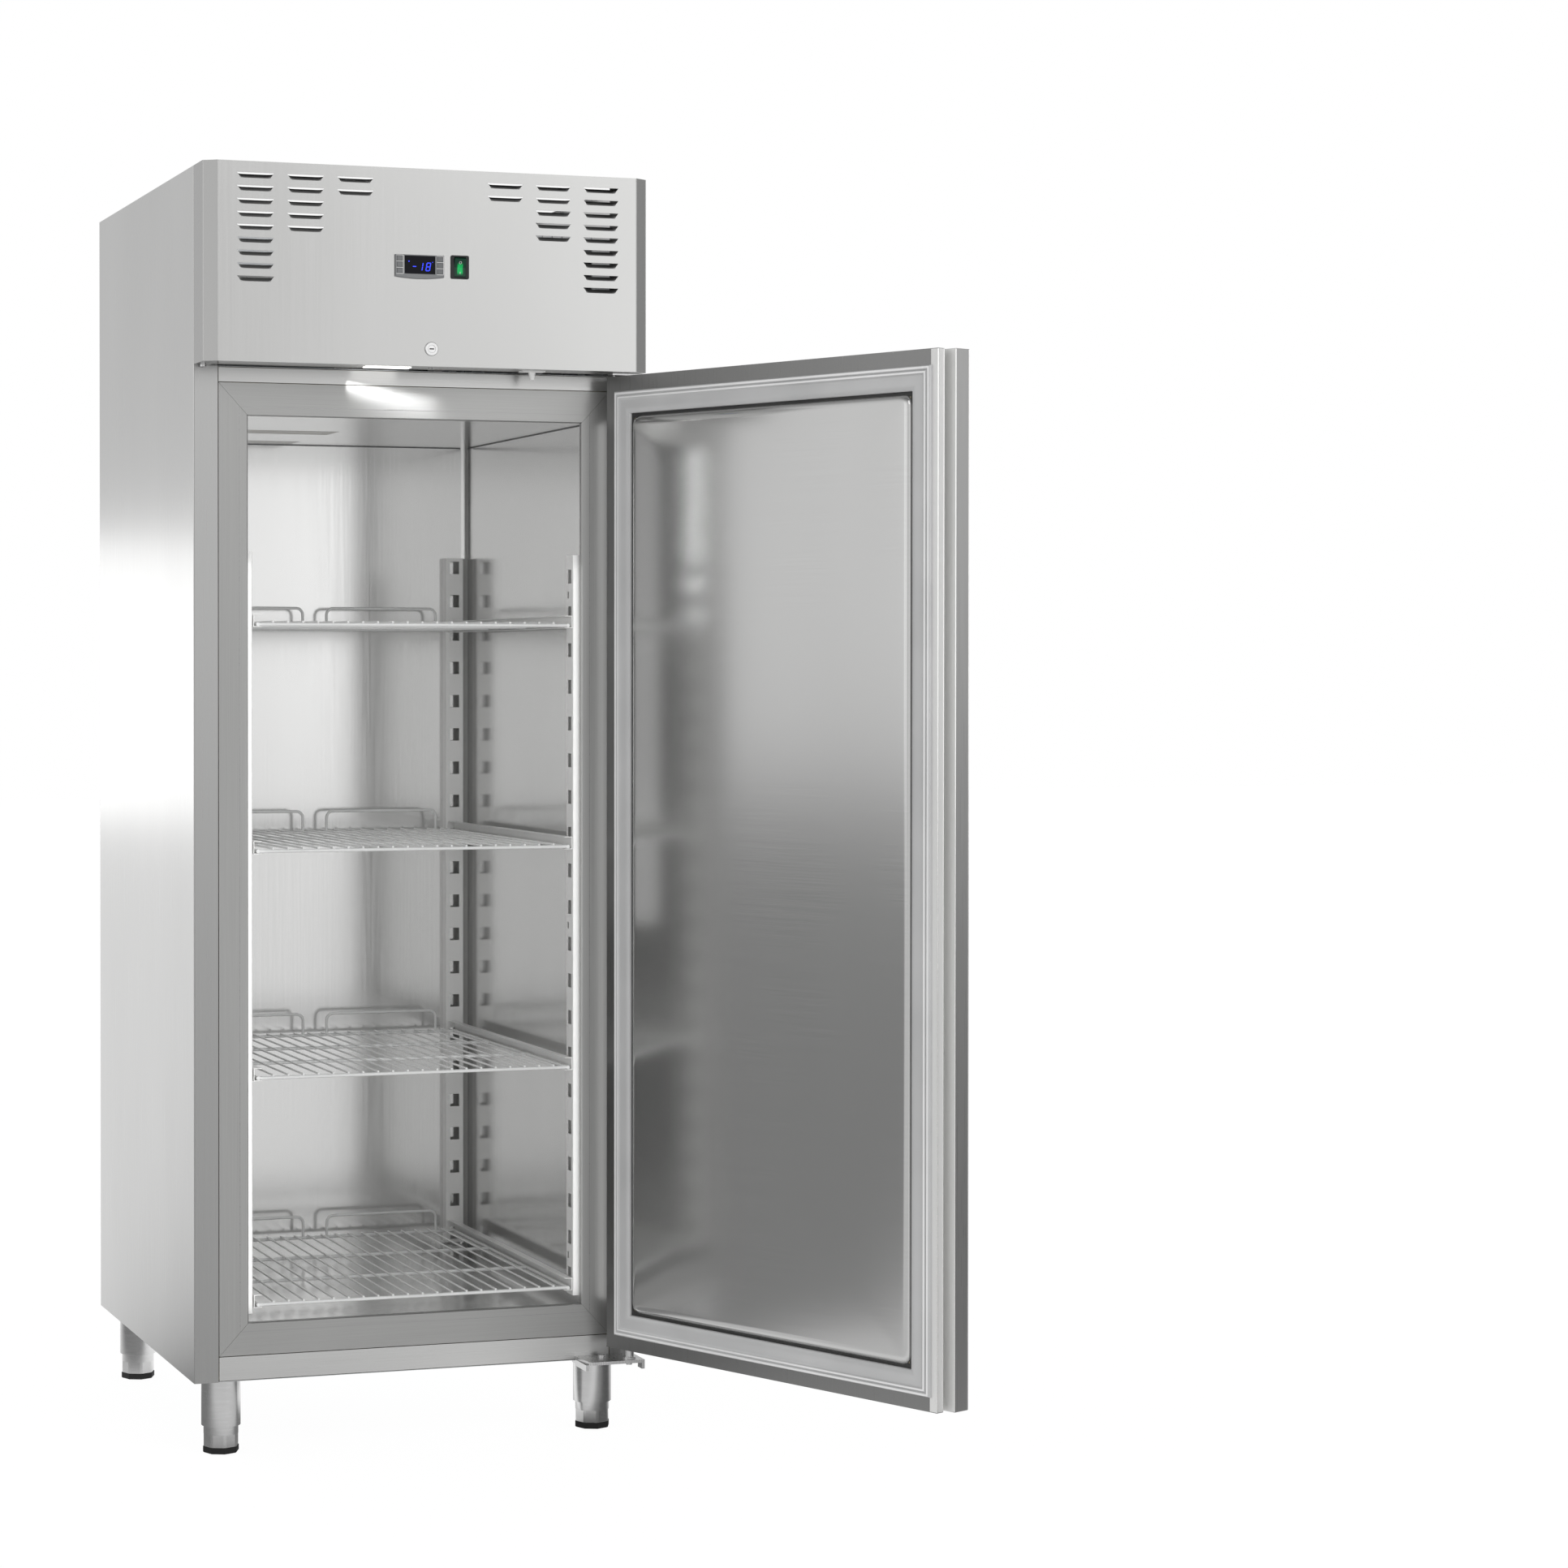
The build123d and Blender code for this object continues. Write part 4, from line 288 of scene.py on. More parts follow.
vertical = (1400.0, 1400.0, 5.0)  # grain of steel brushed upright
level = (5.0, 1400.0, 1400.0)  # and sideways
outer = {"grain": vertical, "cloud": (3.0, 3.0, 0.9), "grainShare": 0.4, "dark": (0.6, 0.6, 0.595),
         "light": (0.66, 0.66, 0.655), "rough": (0.27, 0.33), "stretch": 0.5, "bump": 0.02}
polished = {"grain": (30.0, 30.0, 900.0), "cloud": (15.0, 15.0, 15.0), "grainShare": 0.5,
            "dark": (0.6, 0.6, 0.6), "light": (0.7, 0.7, 0.7), "rough": (0.16, 0.24), "bump": 0.02}
inward = swing.to_3x3() @ Vector((0, 1, 0))  # where the open door's inner side faces
finishes = {
    "outerSteel": brushed("outerSteel", outer),
    "fasciaSteel": brushed("fasciaSteel", {**outer, "dark": (0.39, 0.39, 0.385),
                                           "light": (0.43, 0.43, 0.425), "rough": (0.19, 0.25),
                                           "stretch": 0.3}),
    # painted shade on the side panels' front flange
    "sideSteel": paintedShade(brushed("sideSteel", outer), (0, -1, 0), -corner.y - 0.0004, 0.56),
    # painted shade on the door's inner border
    "doorSteel": paintedShade(brushed("doorSteel", outer), inward,
                        inward.dot(hingePoint) + doorBack / 1000 - (hingePoint.y - corner.y) - 0.0006,
                        0.42),
    # painted shade: a darker copy of the steel for the louvre flaps and the frame's crease; it also colours the
    # plug's real dark joint
    "shadeAndJointSteel": brushed("shadeAndJointSteel", {
        "grain": level, "cloud": (9.0, 9.0, 9.0), "grainShare": 0.5, "dark": (0.26, 0.26, 0.26),
        "light": (0.34, 0.34, 0.34), "rough": (0.25, 0.35), "bump": 0.02}),
    # painted highlight: a near-white copy of the steel for the door's bends
    "edgeSteelHighlight": brushed("edgeSteelHighlight", {
        "grain": vertical, "cloud": (6.0, 6.0, 2.0), "grainShare": 0.5, "dark": (0.86, 0.86, 0.85),
        "light": (0.94, 0.94, 0.93), "rough": (0.14, 0.2), "bump": 0.02}),
    "barSteel": brushed("barSteel", {
        "grain": level, "cloud": (1.0, 4.0, 4.0), "grainShare": 0.45, "dark": (0.47, 0.47, 0.465),
        "light": (0.56, 0.56, 0.555), "rough": (0.27, 0.35), "stretch": 0.6, "turn": 0.25,
        "bump": 0.02}),
    "frameSteel": brushed("frameSteel", {
        "grain": vertical, "mitred": level, "cloud": (4.0, 4.0, 1.2), "grainShare": 0.5,
        "dark": (0.31, 0.31, 0.305), "light": (0.385, 0.385, 0.38), "rough": (0.3, 0.38),
        "stretch": 0.5, "turn": 0.25, "axis": "Y", "bump": 0.02, "metal": 0.75}),
    "linerSteel": brushed("linerSteel", {
        "grain": (300.0, 300.0, 5.0), "cloud": (3.0, 3.0, 1.4), "grainShare": 0.3,
        "dark": (0.72, 0.72, 0.715), "light": (0.78, 0.78, 0.775), "rough": (0.13, 0.19),
        "bump": 0.008, "metal": 0.86}),
    # painted reflection: steel made near-white and mostly diffuse, so the posts and runners look as bright as a
    # mirrored light
    "postSteelPaintedSheen": brushed("postSteelPaintedSheen", {
        "grain": vertical, "cloud": (5.0, 5.0, 2.0), "grainShare": 0.4, "dark": (0.92, 0.92, 0.91),
        "light": (0.97, 0.97, 0.96), "rough": (0.3, 0.38), "bump": 0.02, "metal": 0.15}),
    "panelSteel": brushed("panelSteel", {
        "grain": (5.0, 5.0, 1400.0), "cloud": (2.5, 2.5, 0.8), "grainShare": 0.4,
        "dark": (0.57, 0.57, 0.565), "light": (0.64, 0.64, 0.635), "rough": (0.13, 0.16),
        "bump": 0.008, "metal": 0.9}),
    "gripSteel": brushed("gripSteel", {
        "grain": vertical, "cloud": (3.0, 3.0, 0.9), "grainShare": 0.4, "dark": (0.8, 0.8, 0.79),
        "light": (0.88, 0.88, 0.87), "rough": (0.42, 0.5), "stretch": 0.3, "bump": 0.02,
        "metal": 0.5}),
    "galvanised": brushed("galvanised", {
        "grain": (60.0, 60.0, 60.0), "cloud": (12.0, 12.0, 12.0), "grainShare": 0.6,
        "dark": (0.4, 0.415, 0.425), "light": (0.56, 0.57, 0.58), "rough": (0.35, 0.5),
        "bump": 0.06}),
    "hingeSteel": brushed("hingeSteel", {
        "grain": (500.0, 40.0, 40.0), "cloud": (20.0, 20.0, 20.0), "grainShare": 0.6,
        "dark": (0.5, 0.5, 0.5), "light": (0.66, 0.66, 0.66), "rough": (0.24, 0.36), "bump": 0.04}),
    "fastenerSteel": brushed("fastenerSteel", {
        "grain": (700.0, 700.0, 700.0), "cloud": (60.0, 60.0, 60.0), "grainShare": 0.5,
        "dark": (0.52, 0.52, 0.52), "light": (0.7, 0.7, 0.7), "rough": (0.22, 0.34), "bump": 0.04}),
    "legSteel": brushed("legSteel", polished),
    "lockMetal": brushed("lockMetal", {
        "grain": (800.0, 800.0, 800.0), "cloud": (60.0, 60.0, 60.0), "grainShare": 0.4,
        "dark": (0.54, 0.54, 0.54), "light": (0.62, 0.62, 0.62), "rough": (0.2, 0.3), "bump": 0.02}),
    "coilMetal": brushed("coilMetal", {
        "grain": (1500.0, 40.0, 40.0), "cloud": (20.0, 20.0, 20.0), "grainShare": 0.7,
        "dark": (0.5, 0.51, 0.52), "light": (0.8, 0.81, 0.82), "rough": (0.25, 0.4), "bump": 0.3}),
    "copper": brushed("copper", {
        "grain": (300.0, 300.0, 300.0), "cloud": (25.0, 25.0, 25.0), "grainShare": 0.4,
        "dark": (0.52, 0.24, 0.14), "light": (0.8, 0.42, 0.28), "rough": (0.2, 0.36), "bump": 0.03}),
    "wireCoat": moulded("wireCoat", {
        "texture": 900.0, "dark": (0.82, 0.825, 0.82), "light": (0.9, 0.905, 0.9),
        "rough": (0.2, 0.3), "coat": 0.5, "bump": 0.03}),
    "gasketRubber": moulded("gasketRubber", {
        "texture": 1400.0, "dark": (0.55, 0.553, 0.555), "light": (0.61, 0.612, 0.615),
        "rough": (0.26, 0.36), "coat": 0.4, "bump": 0.03}),
    # painted highlight: a near-white copy of the gasket rubber for its crowns
    "gasketCrownHighlight": moulded("gasketCrownHighlight", {
        "texture": 1400.0, "dark": (0.9, 0.9, 0.9), "light": (0.96, 0.96, 0.96),
        "rough": (0.18, 0.26), "coat": 0.8, "bump": 0.02}),
    # painted shade: black for the gap behind the gasket and for the lock's key slot
    "shadeBlack": moulded("shadeBlack", {
        "texture": 1200.0, "dark": (0.02, 0.02, 0.02), "light": (0.035, 0.035, 0.034),
        "rough": (0.5, 0.65), "bump": 0.1}),
    "foam": moulded("foam", {
        "texture": 700.0, "dark": (0.72, 0.63, 0.4), "light": (0.8, 0.72, 0.5),
        "rough": (0.75, 0.9), "bump": 0.5}),
    "bezelGrey": moulded("bezelGrey", {
        "texture": 2500.0, "dark": (0.19, 0.195, 0.2), "light": (0.22, 0.225, 0.23),
        "rough": (0.4, 0.5), "bump": 0.1}),
    "buttonGrey": moulded("buttonGrey", {
        "texture": 2500.0, "dark": (0.15, 0.155, 0.16), "light": (0.18, 0.185, 0.19),
        "rough": (0.42, 0.52), "bump": 0.1}),
    "legendWhite": moulded("legendWhite", {
        "texture": 2500.0, "dark": (0.76, 0.76, 0.75), "light": (0.84, 0.84, 0.83),
        "rough": (0.4, 0.5), "bump": 0.02}),
    "windowBlack": moulded("windowBlack", {
        "texture": 60.0, "dark": (0.002, 0.002, 0.004), "light": (0.005, 0.005, 0.008),
        "rough": (0.05, 0.09), "shine": 0.1, "bump": 0.005}),
    "digitBlue": moulded("digitBlue", {
        "texture": 900.0, "dark": (0.0, 0.005, 0.2), "light": (0.005, 0.01, 0.3),
        "rough": (0.3, 0.4), "glow": (0.02, 0.05, 1.0), "glowStrength": 1.5, "bump": 0.01}),
    "blackPlastic": moulded("blackPlastic", {
        "texture": 1800.0, "dark": (0.01, 0.012, 0.012), "light": (0.018, 0.02, 0.02),
        "rough": (0.34, 0.48), "shine": 0.3, "bump": 0.12}),
    "lampOpal": moulded("lampOpal", {
        "texture": 300.0, "dark": (0.86, 0.86, 0.84), "light": (0.92, 0.92, 0.9),
        "rough": (0.3, 0.4), "glow": (1.0, 0.99, 0.96), "glowStrength": 2.2, "bump": 0.05}),
    "whitePlastic": moulded("whitePlastic", {
        "texture": 1500.0, "dark": (0.88, 0.88, 0.87), "light": (0.94, 0.94, 0.93),
        "rough": (0.35, 0.48), "bump": 0.05}),
    "compressorEnamel": moulded("compressorEnamel", {
        "texture": 240.0, "dark": (0.008, 0.008, 0.009), "light": (0.02, 0.02, 0.021),
        "rough": (0.18, 0.32), "coat": 0.3, "bump": 0.25}),
    "electricsGrey": moulded("electricsGrey", {
        "texture": 1200.0, "dark": (0.3, 0.31, 0.32), "light": (0.36, 0.37, 0.38),
        "rough": (0.4, 0.55), "bump": 0.12}),
}


# The feet: polished steel that ends in a black rubber tip
tip = {"height": 0.0103, "rubber": (0.014, 0.014, 0.014), "rough": 0.75, "smoother": 0.55}
material = brushed("footSteel", polished)
tree = material.node_tree
shader = tree.nodes["Principled BSDF"]
coords = tree.nodes["Texture Coordinate"]
parts = tree.nodes.new("ShaderNodeSeparateXYZ")
tree.links.new(coords.outputs["Object"], parts.inputs["Vector"])
steel = smoothMask(tree, parts.outputs["Z"], tip["height"], tip["height"] + edgeBlur)
bright = shader.inputs["Base Color"].links[0].from_socket
tree.links.new(between(tree, steel, tip["rubber"], bright), shader.inputs["Base Color"])
tree.links.new(steel, shader.inputs["Metallic"])
dull = joined(tree, "SUBTRACT", tip["rough"], joined(tree, "MULTIPLY", steel, tip["smoother"]))
tree.links.new(dull, shader.inputs["Roughness"])
finishes["footSteel"] = material

# The rocker: dark green, lit from within around its middle
rockerLow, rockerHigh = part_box("switch_rocker")
glow = {"down": 0.0028, "wide": 0.0048, "tall": 0.0085, "colour": (0.0, 1.0, 0.2), "strength": 0.62,
        "full": 0.55, "gone": 1.25, "streaks": (900.0, 0.0, 60.0), "dimmest": 0.35}
material = moulded("rockerGreen", {
    "texture": 500.0, "dark": (0.002, 0.035, 0.018), "light": (0.003, 0.05, 0.025),
    "rough": (0.16, 0.24), "shine": 0.25, "bump": 0.02, "glow": glow["colour"],
    "glowStrength": 1.0})
tree = material.node_tree
shader = tree.nodes["Principled BSDF"]
coords = tree.nodes["Texture Coordinate"]
middle = (rockerLow + rockerHigh) / 2 - Vector((0, 0, glow["down"]))
parts = tree.nodes.new("ShaderNodeSeparateXYZ")
tree.links.new(coords.outputs["Object"], parts.inputs["Vector"])
lit = 1.0
for axis, half in (("X", glow["wide"]), ("Z", glow["tall"])):
    centre = middle.x if axis == "X" else middle.z
    away = joined(tree, "ABSOLUTE", joined(tree, "SUBTRACT", parts.outputs[axis], centre), 0.0)
    fade = joined(tree, "SUBTRACT", 1.0,
                  smoothMask(tree, away, half * glow["full"], half * glow["gone"]))
    lit = joined(tree, "MULTIPLY", fade, lit)
streaks = spread(tree, stretchedNoise(tree, coords, glow["streaks"], 2.0, 0.5), glow["dimmest"], 1.0)
lit = joined(tree, "MULTIPLY", lit, streaks)
tree.links.new(joined(tree, "MULTIPLY", lit, glow["strength"]), shader.inputs["Emission Strength"])
finishes["rockerGreen"] = material

slotFinish = {
    "stainless_outer": "outerSteel", "frame_steel": "frameSteel", "galvanised_steel": "galvanised",
    "stainless_liner": "linerSteel", "insulation_foam": "foam", "shelf_wire": "wireCoat",
    "gasket_rubber": "gasketRubber", "hinge_steel": "hingeSteel", "fastener_steel": "fastenerSteel",
    "bezel_grey": "bezelGrey", "window_black": "windowBlack", "button_grey": "buttonGrey",
    "black_plastic": "blackPlastic", "rocker_green": "rockerGreen", "lock_chrome": "lockMetal",
    "lamp_lens": "lampOpal", "white_plastic": "whitePlastic", "compressor_black": "compressorEnamel",
    "coil_aluminium": "coilMetal", "electrics_grey": "electricsGrey", "copper_pipe": "copper",
    "foot_steel": "footSteel",
}
ownFinish = {"uprights_front": "postSteelPaintedSheen", "uprights_rear": "postSteelPaintedSheen", "shelf_runners": "postSteelPaintedSheen",
             "door_inner_panel": "panelSteel", "door_grip": "gripSteel", "foot_sleeves": "legSteel",
             "door_skin": "doorSteel", "side_panel_left": "sideSteel", "side_panel_right": "sideSteel",
             "lintel_bar": "barSteel", "bottom_bar": "barSteel", "fascia": "fasciaSteel"}
nodeSlots = {part["node"]: part["material_slot"] for part in frame["record"]["subparts"]}
for name, node in nodes.items():
    chosen = finishes[ownFinish.get(name) or slotFinish[nodeSlots[name]]]
    for index in range(len(node.material_slots)):
        node.material_slots[index].material = chosen
print("finishes:", len(finishes))

# Door gasket: a soft profile swept round the door by stepwise insets, so that its corners are mitred.
# Each step goes so far across and then out; the crowns are the steps that catch the light, and their near-white
# rubber is a painted highlight.
gasket = {"outer": 25.5, "low": 170.0, "high": 1712.0, "base": doorBack, "crowns": (3, 4, 8, 9),
          "steps": ((0.3, 2.4), (0.8, 2.6), (1.2, 1.4), (1.7, 0.6), (1.7, -0.5), (1.2, -2.1),
                    (0.9, -0.2), (1.2, 2.5), (1.5, 0.8), (1.5, -0.3), (1.2, -1.3), (2.6, -0.3),
                    (4.6, 0.1), (4.6, 0.4), (3.6, 0.3), (2.8, -0.3), (2.4, -0.8), (2.2, -0.6),
                    (1.2, -1.0), (0.4, -3.6))}
gap = {"outer": 60.0, "low": 206.0, "high": 1676.0, "base": doorBack + 0.05, "wide": 9.0,
       "lip": (0.05, 0.2)}


def swept(bm, left, right, low, high, base, steps, crowns=()):
    made = bmesh.ops.create_grid(bm, x_segments=1, y_segments=1, size=0.5)
    width, height = (right - left) / 1000, (high - low) / 1000
    stand = Matrix.Translation(spot((left + right) / 2, base, (low + high) / 2))
    stand = stand @ Matrix.Rotation(radians(-90), 4, "X") @ Matrix.Diagonal((width, height, 1, 1))
    bmesh.ops.transform(bm, matrix=stand, verts=made["verts"])
    face = list({face for vert in made["verts"] for face in vert.link_faces})[0]
    face.normal_update()
    if face.normal.y < 0:
        face.normal_flip()
    for count, (across, out) in enumerate(steps):
        ring = bmesh.ops.inset_region(bm, faces=[face], thickness=across / 1000, depth=out / 1000,
                                      use_even_offset=True, use_boundary=True)
        if count in crowns:
            for side in ring["faces"]:
                side.material_index = 1
    bmesh.ops.delete(bm, geom=[face], context="FACES")


bm = bmesh.new()
swept(bm, gasket["outer"], bodyWidth - gasket["outer"], gasket["low"], gasket["high"], gasket["base"],
      gasket["steps"], gasket["crowns"])
bmesh.ops.transform(bm, matrix=swing, verts=bm.verts)
doorGasket = finish("doorGasket", bm, finishes["gasketRubber"], "door", 50)
doorGasket.data.materials.append(finishes["gasketCrownHighlight"])
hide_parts("door_gasket")

# Painted shade: a black strip across the gap between the gasket and the panel, which also closes the foam off
bm = bmesh.new()
lipWide, lipHigh = gap["lip"]
swept(bm, gap["outer"], bodyWidth - gap["outer"], gap["low"], gap["high"], gap["base"],
      ((lipWide, lipHigh), (gap["wide"], 0.0), (lipWide, -lipHigh)))
bmesh.ops.transform(bm, matrix=swing, verts=bm.verts)
finish("panelGapShade", bm, finishes["shadeBlack"], "door")

# Door inner panel: a pressed sheet, rolled over at its edges and a little crowned in its field
innerPanel = {"inset": 66.5, "low": 211.0, "high": 1671.0, "corner": 17.0, "roll": 7.0, "rise": 6.0,
              "crown": 1.8, "shoulder": 100.0, "clear": 0.3, "columns": 56, "rows": 124,
              "crowdAcross": 0.55, "crowdUp": 0.3}


def panelHeight(across, up, halfWidth, halfHeight):  # of the sheet, from its distance to the outline
    inX = halfWidth - abs(across) - innerPanel["corner"]
    inZ = halfHeight - abs(up) - innerPanel["corner"]
    if inX < 0 and inZ < 0:
        inside = innerPanel["corner"] - (inX * inX + inZ * inZ) ** 0.5
    else:
        inside = min(inX, inZ) + innerPanel["corner"]
    inside = max(inside, 0.0)
    roll = min(inside / innerPanel["roll"], 1.0)
    shoulder = min(inside / innerPanel["shoulder"], 1.0)
    rolled = (1 - (1 - roll) ** 2) ** 0.5
    return innerPanel["rise"] * rolled + innerPanel["crown"] * shoulder * (2 - shoulder)


bm = bmesh.new()
halfWidth = bodyWidth / 2 - innerPanel["inset"]
halfHeight = (innerPanel["high"] - innerPanel["low"]) / 2
middleZ = (innerPanel["high"] + innerPanel["low"]) / 2
bmesh.ops.create_grid(bm, x_segments=innerPanel["columns"], y_segments=innerPanel["rows"], size=1.0)
for vert in bm.verts:
    across, up = vert.co.x, vert.co.y
    # rows and columns crowd towards the edges, where the sheet is rolled over
    across += (sin(across * pi / 2) - across) * innerPanel["crowdAcross"]
    up += (sin(up * pi / 2) - up) * innerPanel["crowdUp"]
    across, up = across * halfWidth, up * halfHeight
    overX = abs(across) - (halfWidth - innerPanel["corner"])
    overZ = abs(up) - (halfHeight - innerPanel["corner"])
    if overX > 0 and overZ > 0:
        reach = (overX * overX + overZ * overZ) ** 0.5
        square = max(overX, overZ)
        overX, overZ = overX / reach * square, overZ / reach * square
        across = (halfWidth - innerPanel["corner"] + overX) * (1 if across > 0 else -1)
        up = (halfHeight - innerPanel["corner"] + overZ) * (1 if up > 0 else -1)
    out = panelHeight(across, up, halfWidth, halfHeight)
    vert.co = spot(bodyWidth / 2 + across, doorBack + innerPanel["clear"] + out, middleZ + up)
rim = [edge for edge in bm.edges if edge.is_boundary]
made = bmesh.ops.extrude_edge_only(bm, edges=rim)
skirt = [item for item in made["geom"] if isinstance(item, bmesh.types.BMVert)]
bmesh.ops.translate(bm, verts=skirt, vec=Vector((0, -innerPanel["clear"] / 1000, 0)))
bmesh.ops.transform(bm, matrix=swing, verts=bm.verts)
doorInnerPanel = finish("doorInnerPanel", bm, finishes["panelSteel"], "door", 60)
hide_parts("door_inner_panel")
print("door dressed")

# Bends: the small radius along each folded edge, which catches the light; the door's bends take a near-white
# steel, a painted highlight
bend = {"radius": 1.1, "inside": 0.75, "sides": 16,
        "door": ((14.8, -10.0, 1, -1), (14.8, -24.0, 1, 1), (2.0, -35.0, 1, -1),
                 (2.0, -65.0, 1.15, 0.45), (23.3, -78.8, 0.35, 1.1), (738.0, -65.0, -1.15, 0.45),
                 (716.7, -78.8, -0.35, 1.1)), "doorLow": 149.0, "doorHigh": 1735.5,
        "fascia": ((0.0, -65.0, 1.15, 0.45), (21.3, -78.8, 0.35, 1.1), (740.0, -65.0, -1.15, 0.45),
                   (718.7, -78.8, -0.35, 1.1)), "fasciaLow": 1743.6, "fasciaHigh": 2057.4}


def addBends(bm, corners, low, high):
    for x, y, inX, inY in corners:  # the corner, and which way its inside lies
        at = (x + inX * bend["inside"], y + inY * bend["inside"])
        addRod(bm, spot(*at, low), spot(*at, high), bend["radius"] / 1000, bend["sides"])


bm = bmesh.new()
addBends(bm, bend["door"], bend["doorLow"], bend["doorHigh"])
bmesh.ops.transform(bm, matrix=swing, verts=bm.verts)
finish("doorBends", bm, finishes["edgeSteelHighlight"], "door")

bm = bmesh.new()
addBends(bm, bend["fascia"], bend["fasciaLow"], bend["fasciaHigh"])
finish("fasciaBends", bm, finishes["fasciaSteel"], "fascia")

# Louvres: each flap is pressed inwards from its lower edge, with closed rounded ends; the flaps take a darker
# steel, painted shade in the recesses
louvre = {"side": 52.4, "columns": 81.4, "rows": (9, 5, 2), "top": 2040.0, "pitch": 20.3,
          "length": 60.0, "height": 8.6, "draw": 4.5, "corner": 3.0, "slit": 2.0, "deep": 6.6,
          "across": 20, "up": 8, "front": -78.9, "curve": 1.5, "ends": 9, "thick": 0.2}


def addScoop(bm, left, high):
    made = bmesh.ops.create_grid(bm, x_segments=louvre["across"], y_segments=louvre["up"], size=0.5)
    low = high - louvre["height"]
    tall = louvre["height"] - louvre["slit"]
    for vert in made["verts"]:
        across, up = vert.co.x + 0.5, vert.co.y + 0.5
        across = 0.5 - 0.5 * cos(across * pi)  # columns crowd at the ends
        z = low + up * tall
        above = z - low
        if above < louvre["corner"]:
            edge = louvre["draw"] + louvre["corner"]
            edge -= (louvre["corner"] ** 2 - (louvre["corner"] - above) ** 2) ** 0.5
        else:
            share = (above - louvre["corner"]) / (louvre["height"] - louvre["corner"])
            edge = louvre["draw"] * (1 - share)
        x = left + edge + across * (louvre["length"] - 2 * edge)
        deep = louvre["deep"] * up ** louvre["curve"] * (1 - abs(2 * across - 1) ** louvre["ends"])
        vert.co = spot(x, louvre["front"] + deep, z)


bm = bmesh.new()
for column, rows in enumerate(louvre["rows"]):
    start = louvre["side"] + column * louvre["columns"]
    for left in (start, bodyWidth - start - louvre["length"]):
        for row in range(rows):
            addScoop(bm, left, louvre["top"] - row * louvre["pitch"])
bmesh.ops.recalc_face_normals(bm, faces=bm.faces)
bmesh.ops.solidify(bm, geom=list(bm.faces), thickness=louvre["thick"] / 1000)
finish("louvreScoops", bm, finishes["shadeAndJointSteel"], "fascia", 60)
print("fascia pressed")

# Thermostat: lit digits that lean forward, and the light lines round its keys
digits = {"front": -82.76, "thick": 0.12, "stroke": 1.35, "wide": 6.2, "tall": 12.4, "low": 1895.0,
          "lean": radians(10), "trim": 0.35, "eight": 360.2, "one": 347.6, "minus": 337.4,
          "dots": ((332.3, 1909.2, 1.0), (371.6, 1908.6, 0.6)), "dotSides": 20}
# where each stroke of a digit starts and ends, in shares of its width and height
segments = {"top": (0, 1, 1, 1), "upperRight": (1, 0.5, 1, 1), "lowerRight": (1, 0, 1, 0.5),
            "bottom": (0, 0, 1, 0), "lowerLeft": (0, 0, 0, 0.5), "upperLeft": (0, 0.5, 0, 1),
            "middle": (0, 0.5, 1, 0.5)}


def addStroke(bm, x0, z0, x1, z1, stroke):
    trim = digits["trim"]
    if abs(x1 - x0) > abs(z1 - z0):
        low, high = (x0 + trim, z0 - stroke / 2), (x1 - trim, z0 + stroke / 2)
    else:
        low, high = (x0 - stroke / 2, z0 + trim), (x0 + stroke / 2, z1 - trim)
    front = digits["front"] - digits["thick"]
    return addBlock(bm, spot(low[0], front, low[1]), spot(high[0], digits["front"], high[1]))["verts"]


def addDigit(bm, left, names):
    for name in names:
        startX, startZ, endX, endZ = segments[name]
        verts = addStroke(bm, left + startX * digits["wide"], digits["low"] + startZ * digits["tall"],
                          left + endX * digits["wide"], digits["low"] + endZ * digits["tall"],
                          digits["stroke"])
        for vert in verts:
            vert.co.x += (vert.co.z - digits["low"] / 1000) * tan(digits["lean"])


bm = bmesh.new()
addDigit(bm, digits["eight"], segments)
addDigit(bm, digits["one"], ("upperRight", "lowerRight"))
addDigit(bm, digits["minus"], ("middle",))
for x, z, radius in digits["dots"]:
    addRod(bm, spot(x, digits["front"], z), spot(x, digits["front"] - digits["thick"], z),
           radius / 1000, digits["dotSides"])
finish("displayDigits", bm, finishes["digitBlue"], "fascia")

keyLines = {"left": (311.6, 322.6), "right": (378.6, 389.6), "levels": (1918.7, 1908.95, 1899.05, 1889.2),
            "front": -82.8, "thick": 0.12, "sunk": 0.1, "stroke": 0.75}
bm = bmesh.new()
for start, end in (keyLines["left"], keyLines["right"]):
    for z in keyLines["levels"]:
        addBlock(bm, spot(start, keyLines["front"] - keyLines["thick"], z - keyLines["stroke"] / 2),
                 spot(end, keyLines["front"] + keyLines["sunk"], z + keyLines["stroke"] / 2))
for x in (keyLines["left"][1], keyLines["right"][1]):
    addBlock(bm, spot(x, keyLines["front"] - keyLines["thick"], keyLines["levels"][3]),
             spot(x + keyLines["stroke"], keyLines["front"] + keyLines["sunk"], keyLines["levels"][0]))
finish("keyLines", bm, finishes["legendWhite"], "fascia")


def addRing(bm, radius, wide, steps):
    ring = bmesh.ops.create_circle(bm, cap_ends=True, segments=steps, radius=radius / 1000)
    face = list({face for vert in ring["verts"] for face in vert.link_faces})
    bmesh.ops.inset_region(bm, faces=face, thickness=wide / 1000, use_boundary=True)
    bmesh.ops.delete(bm, geom=face, context="FACES")


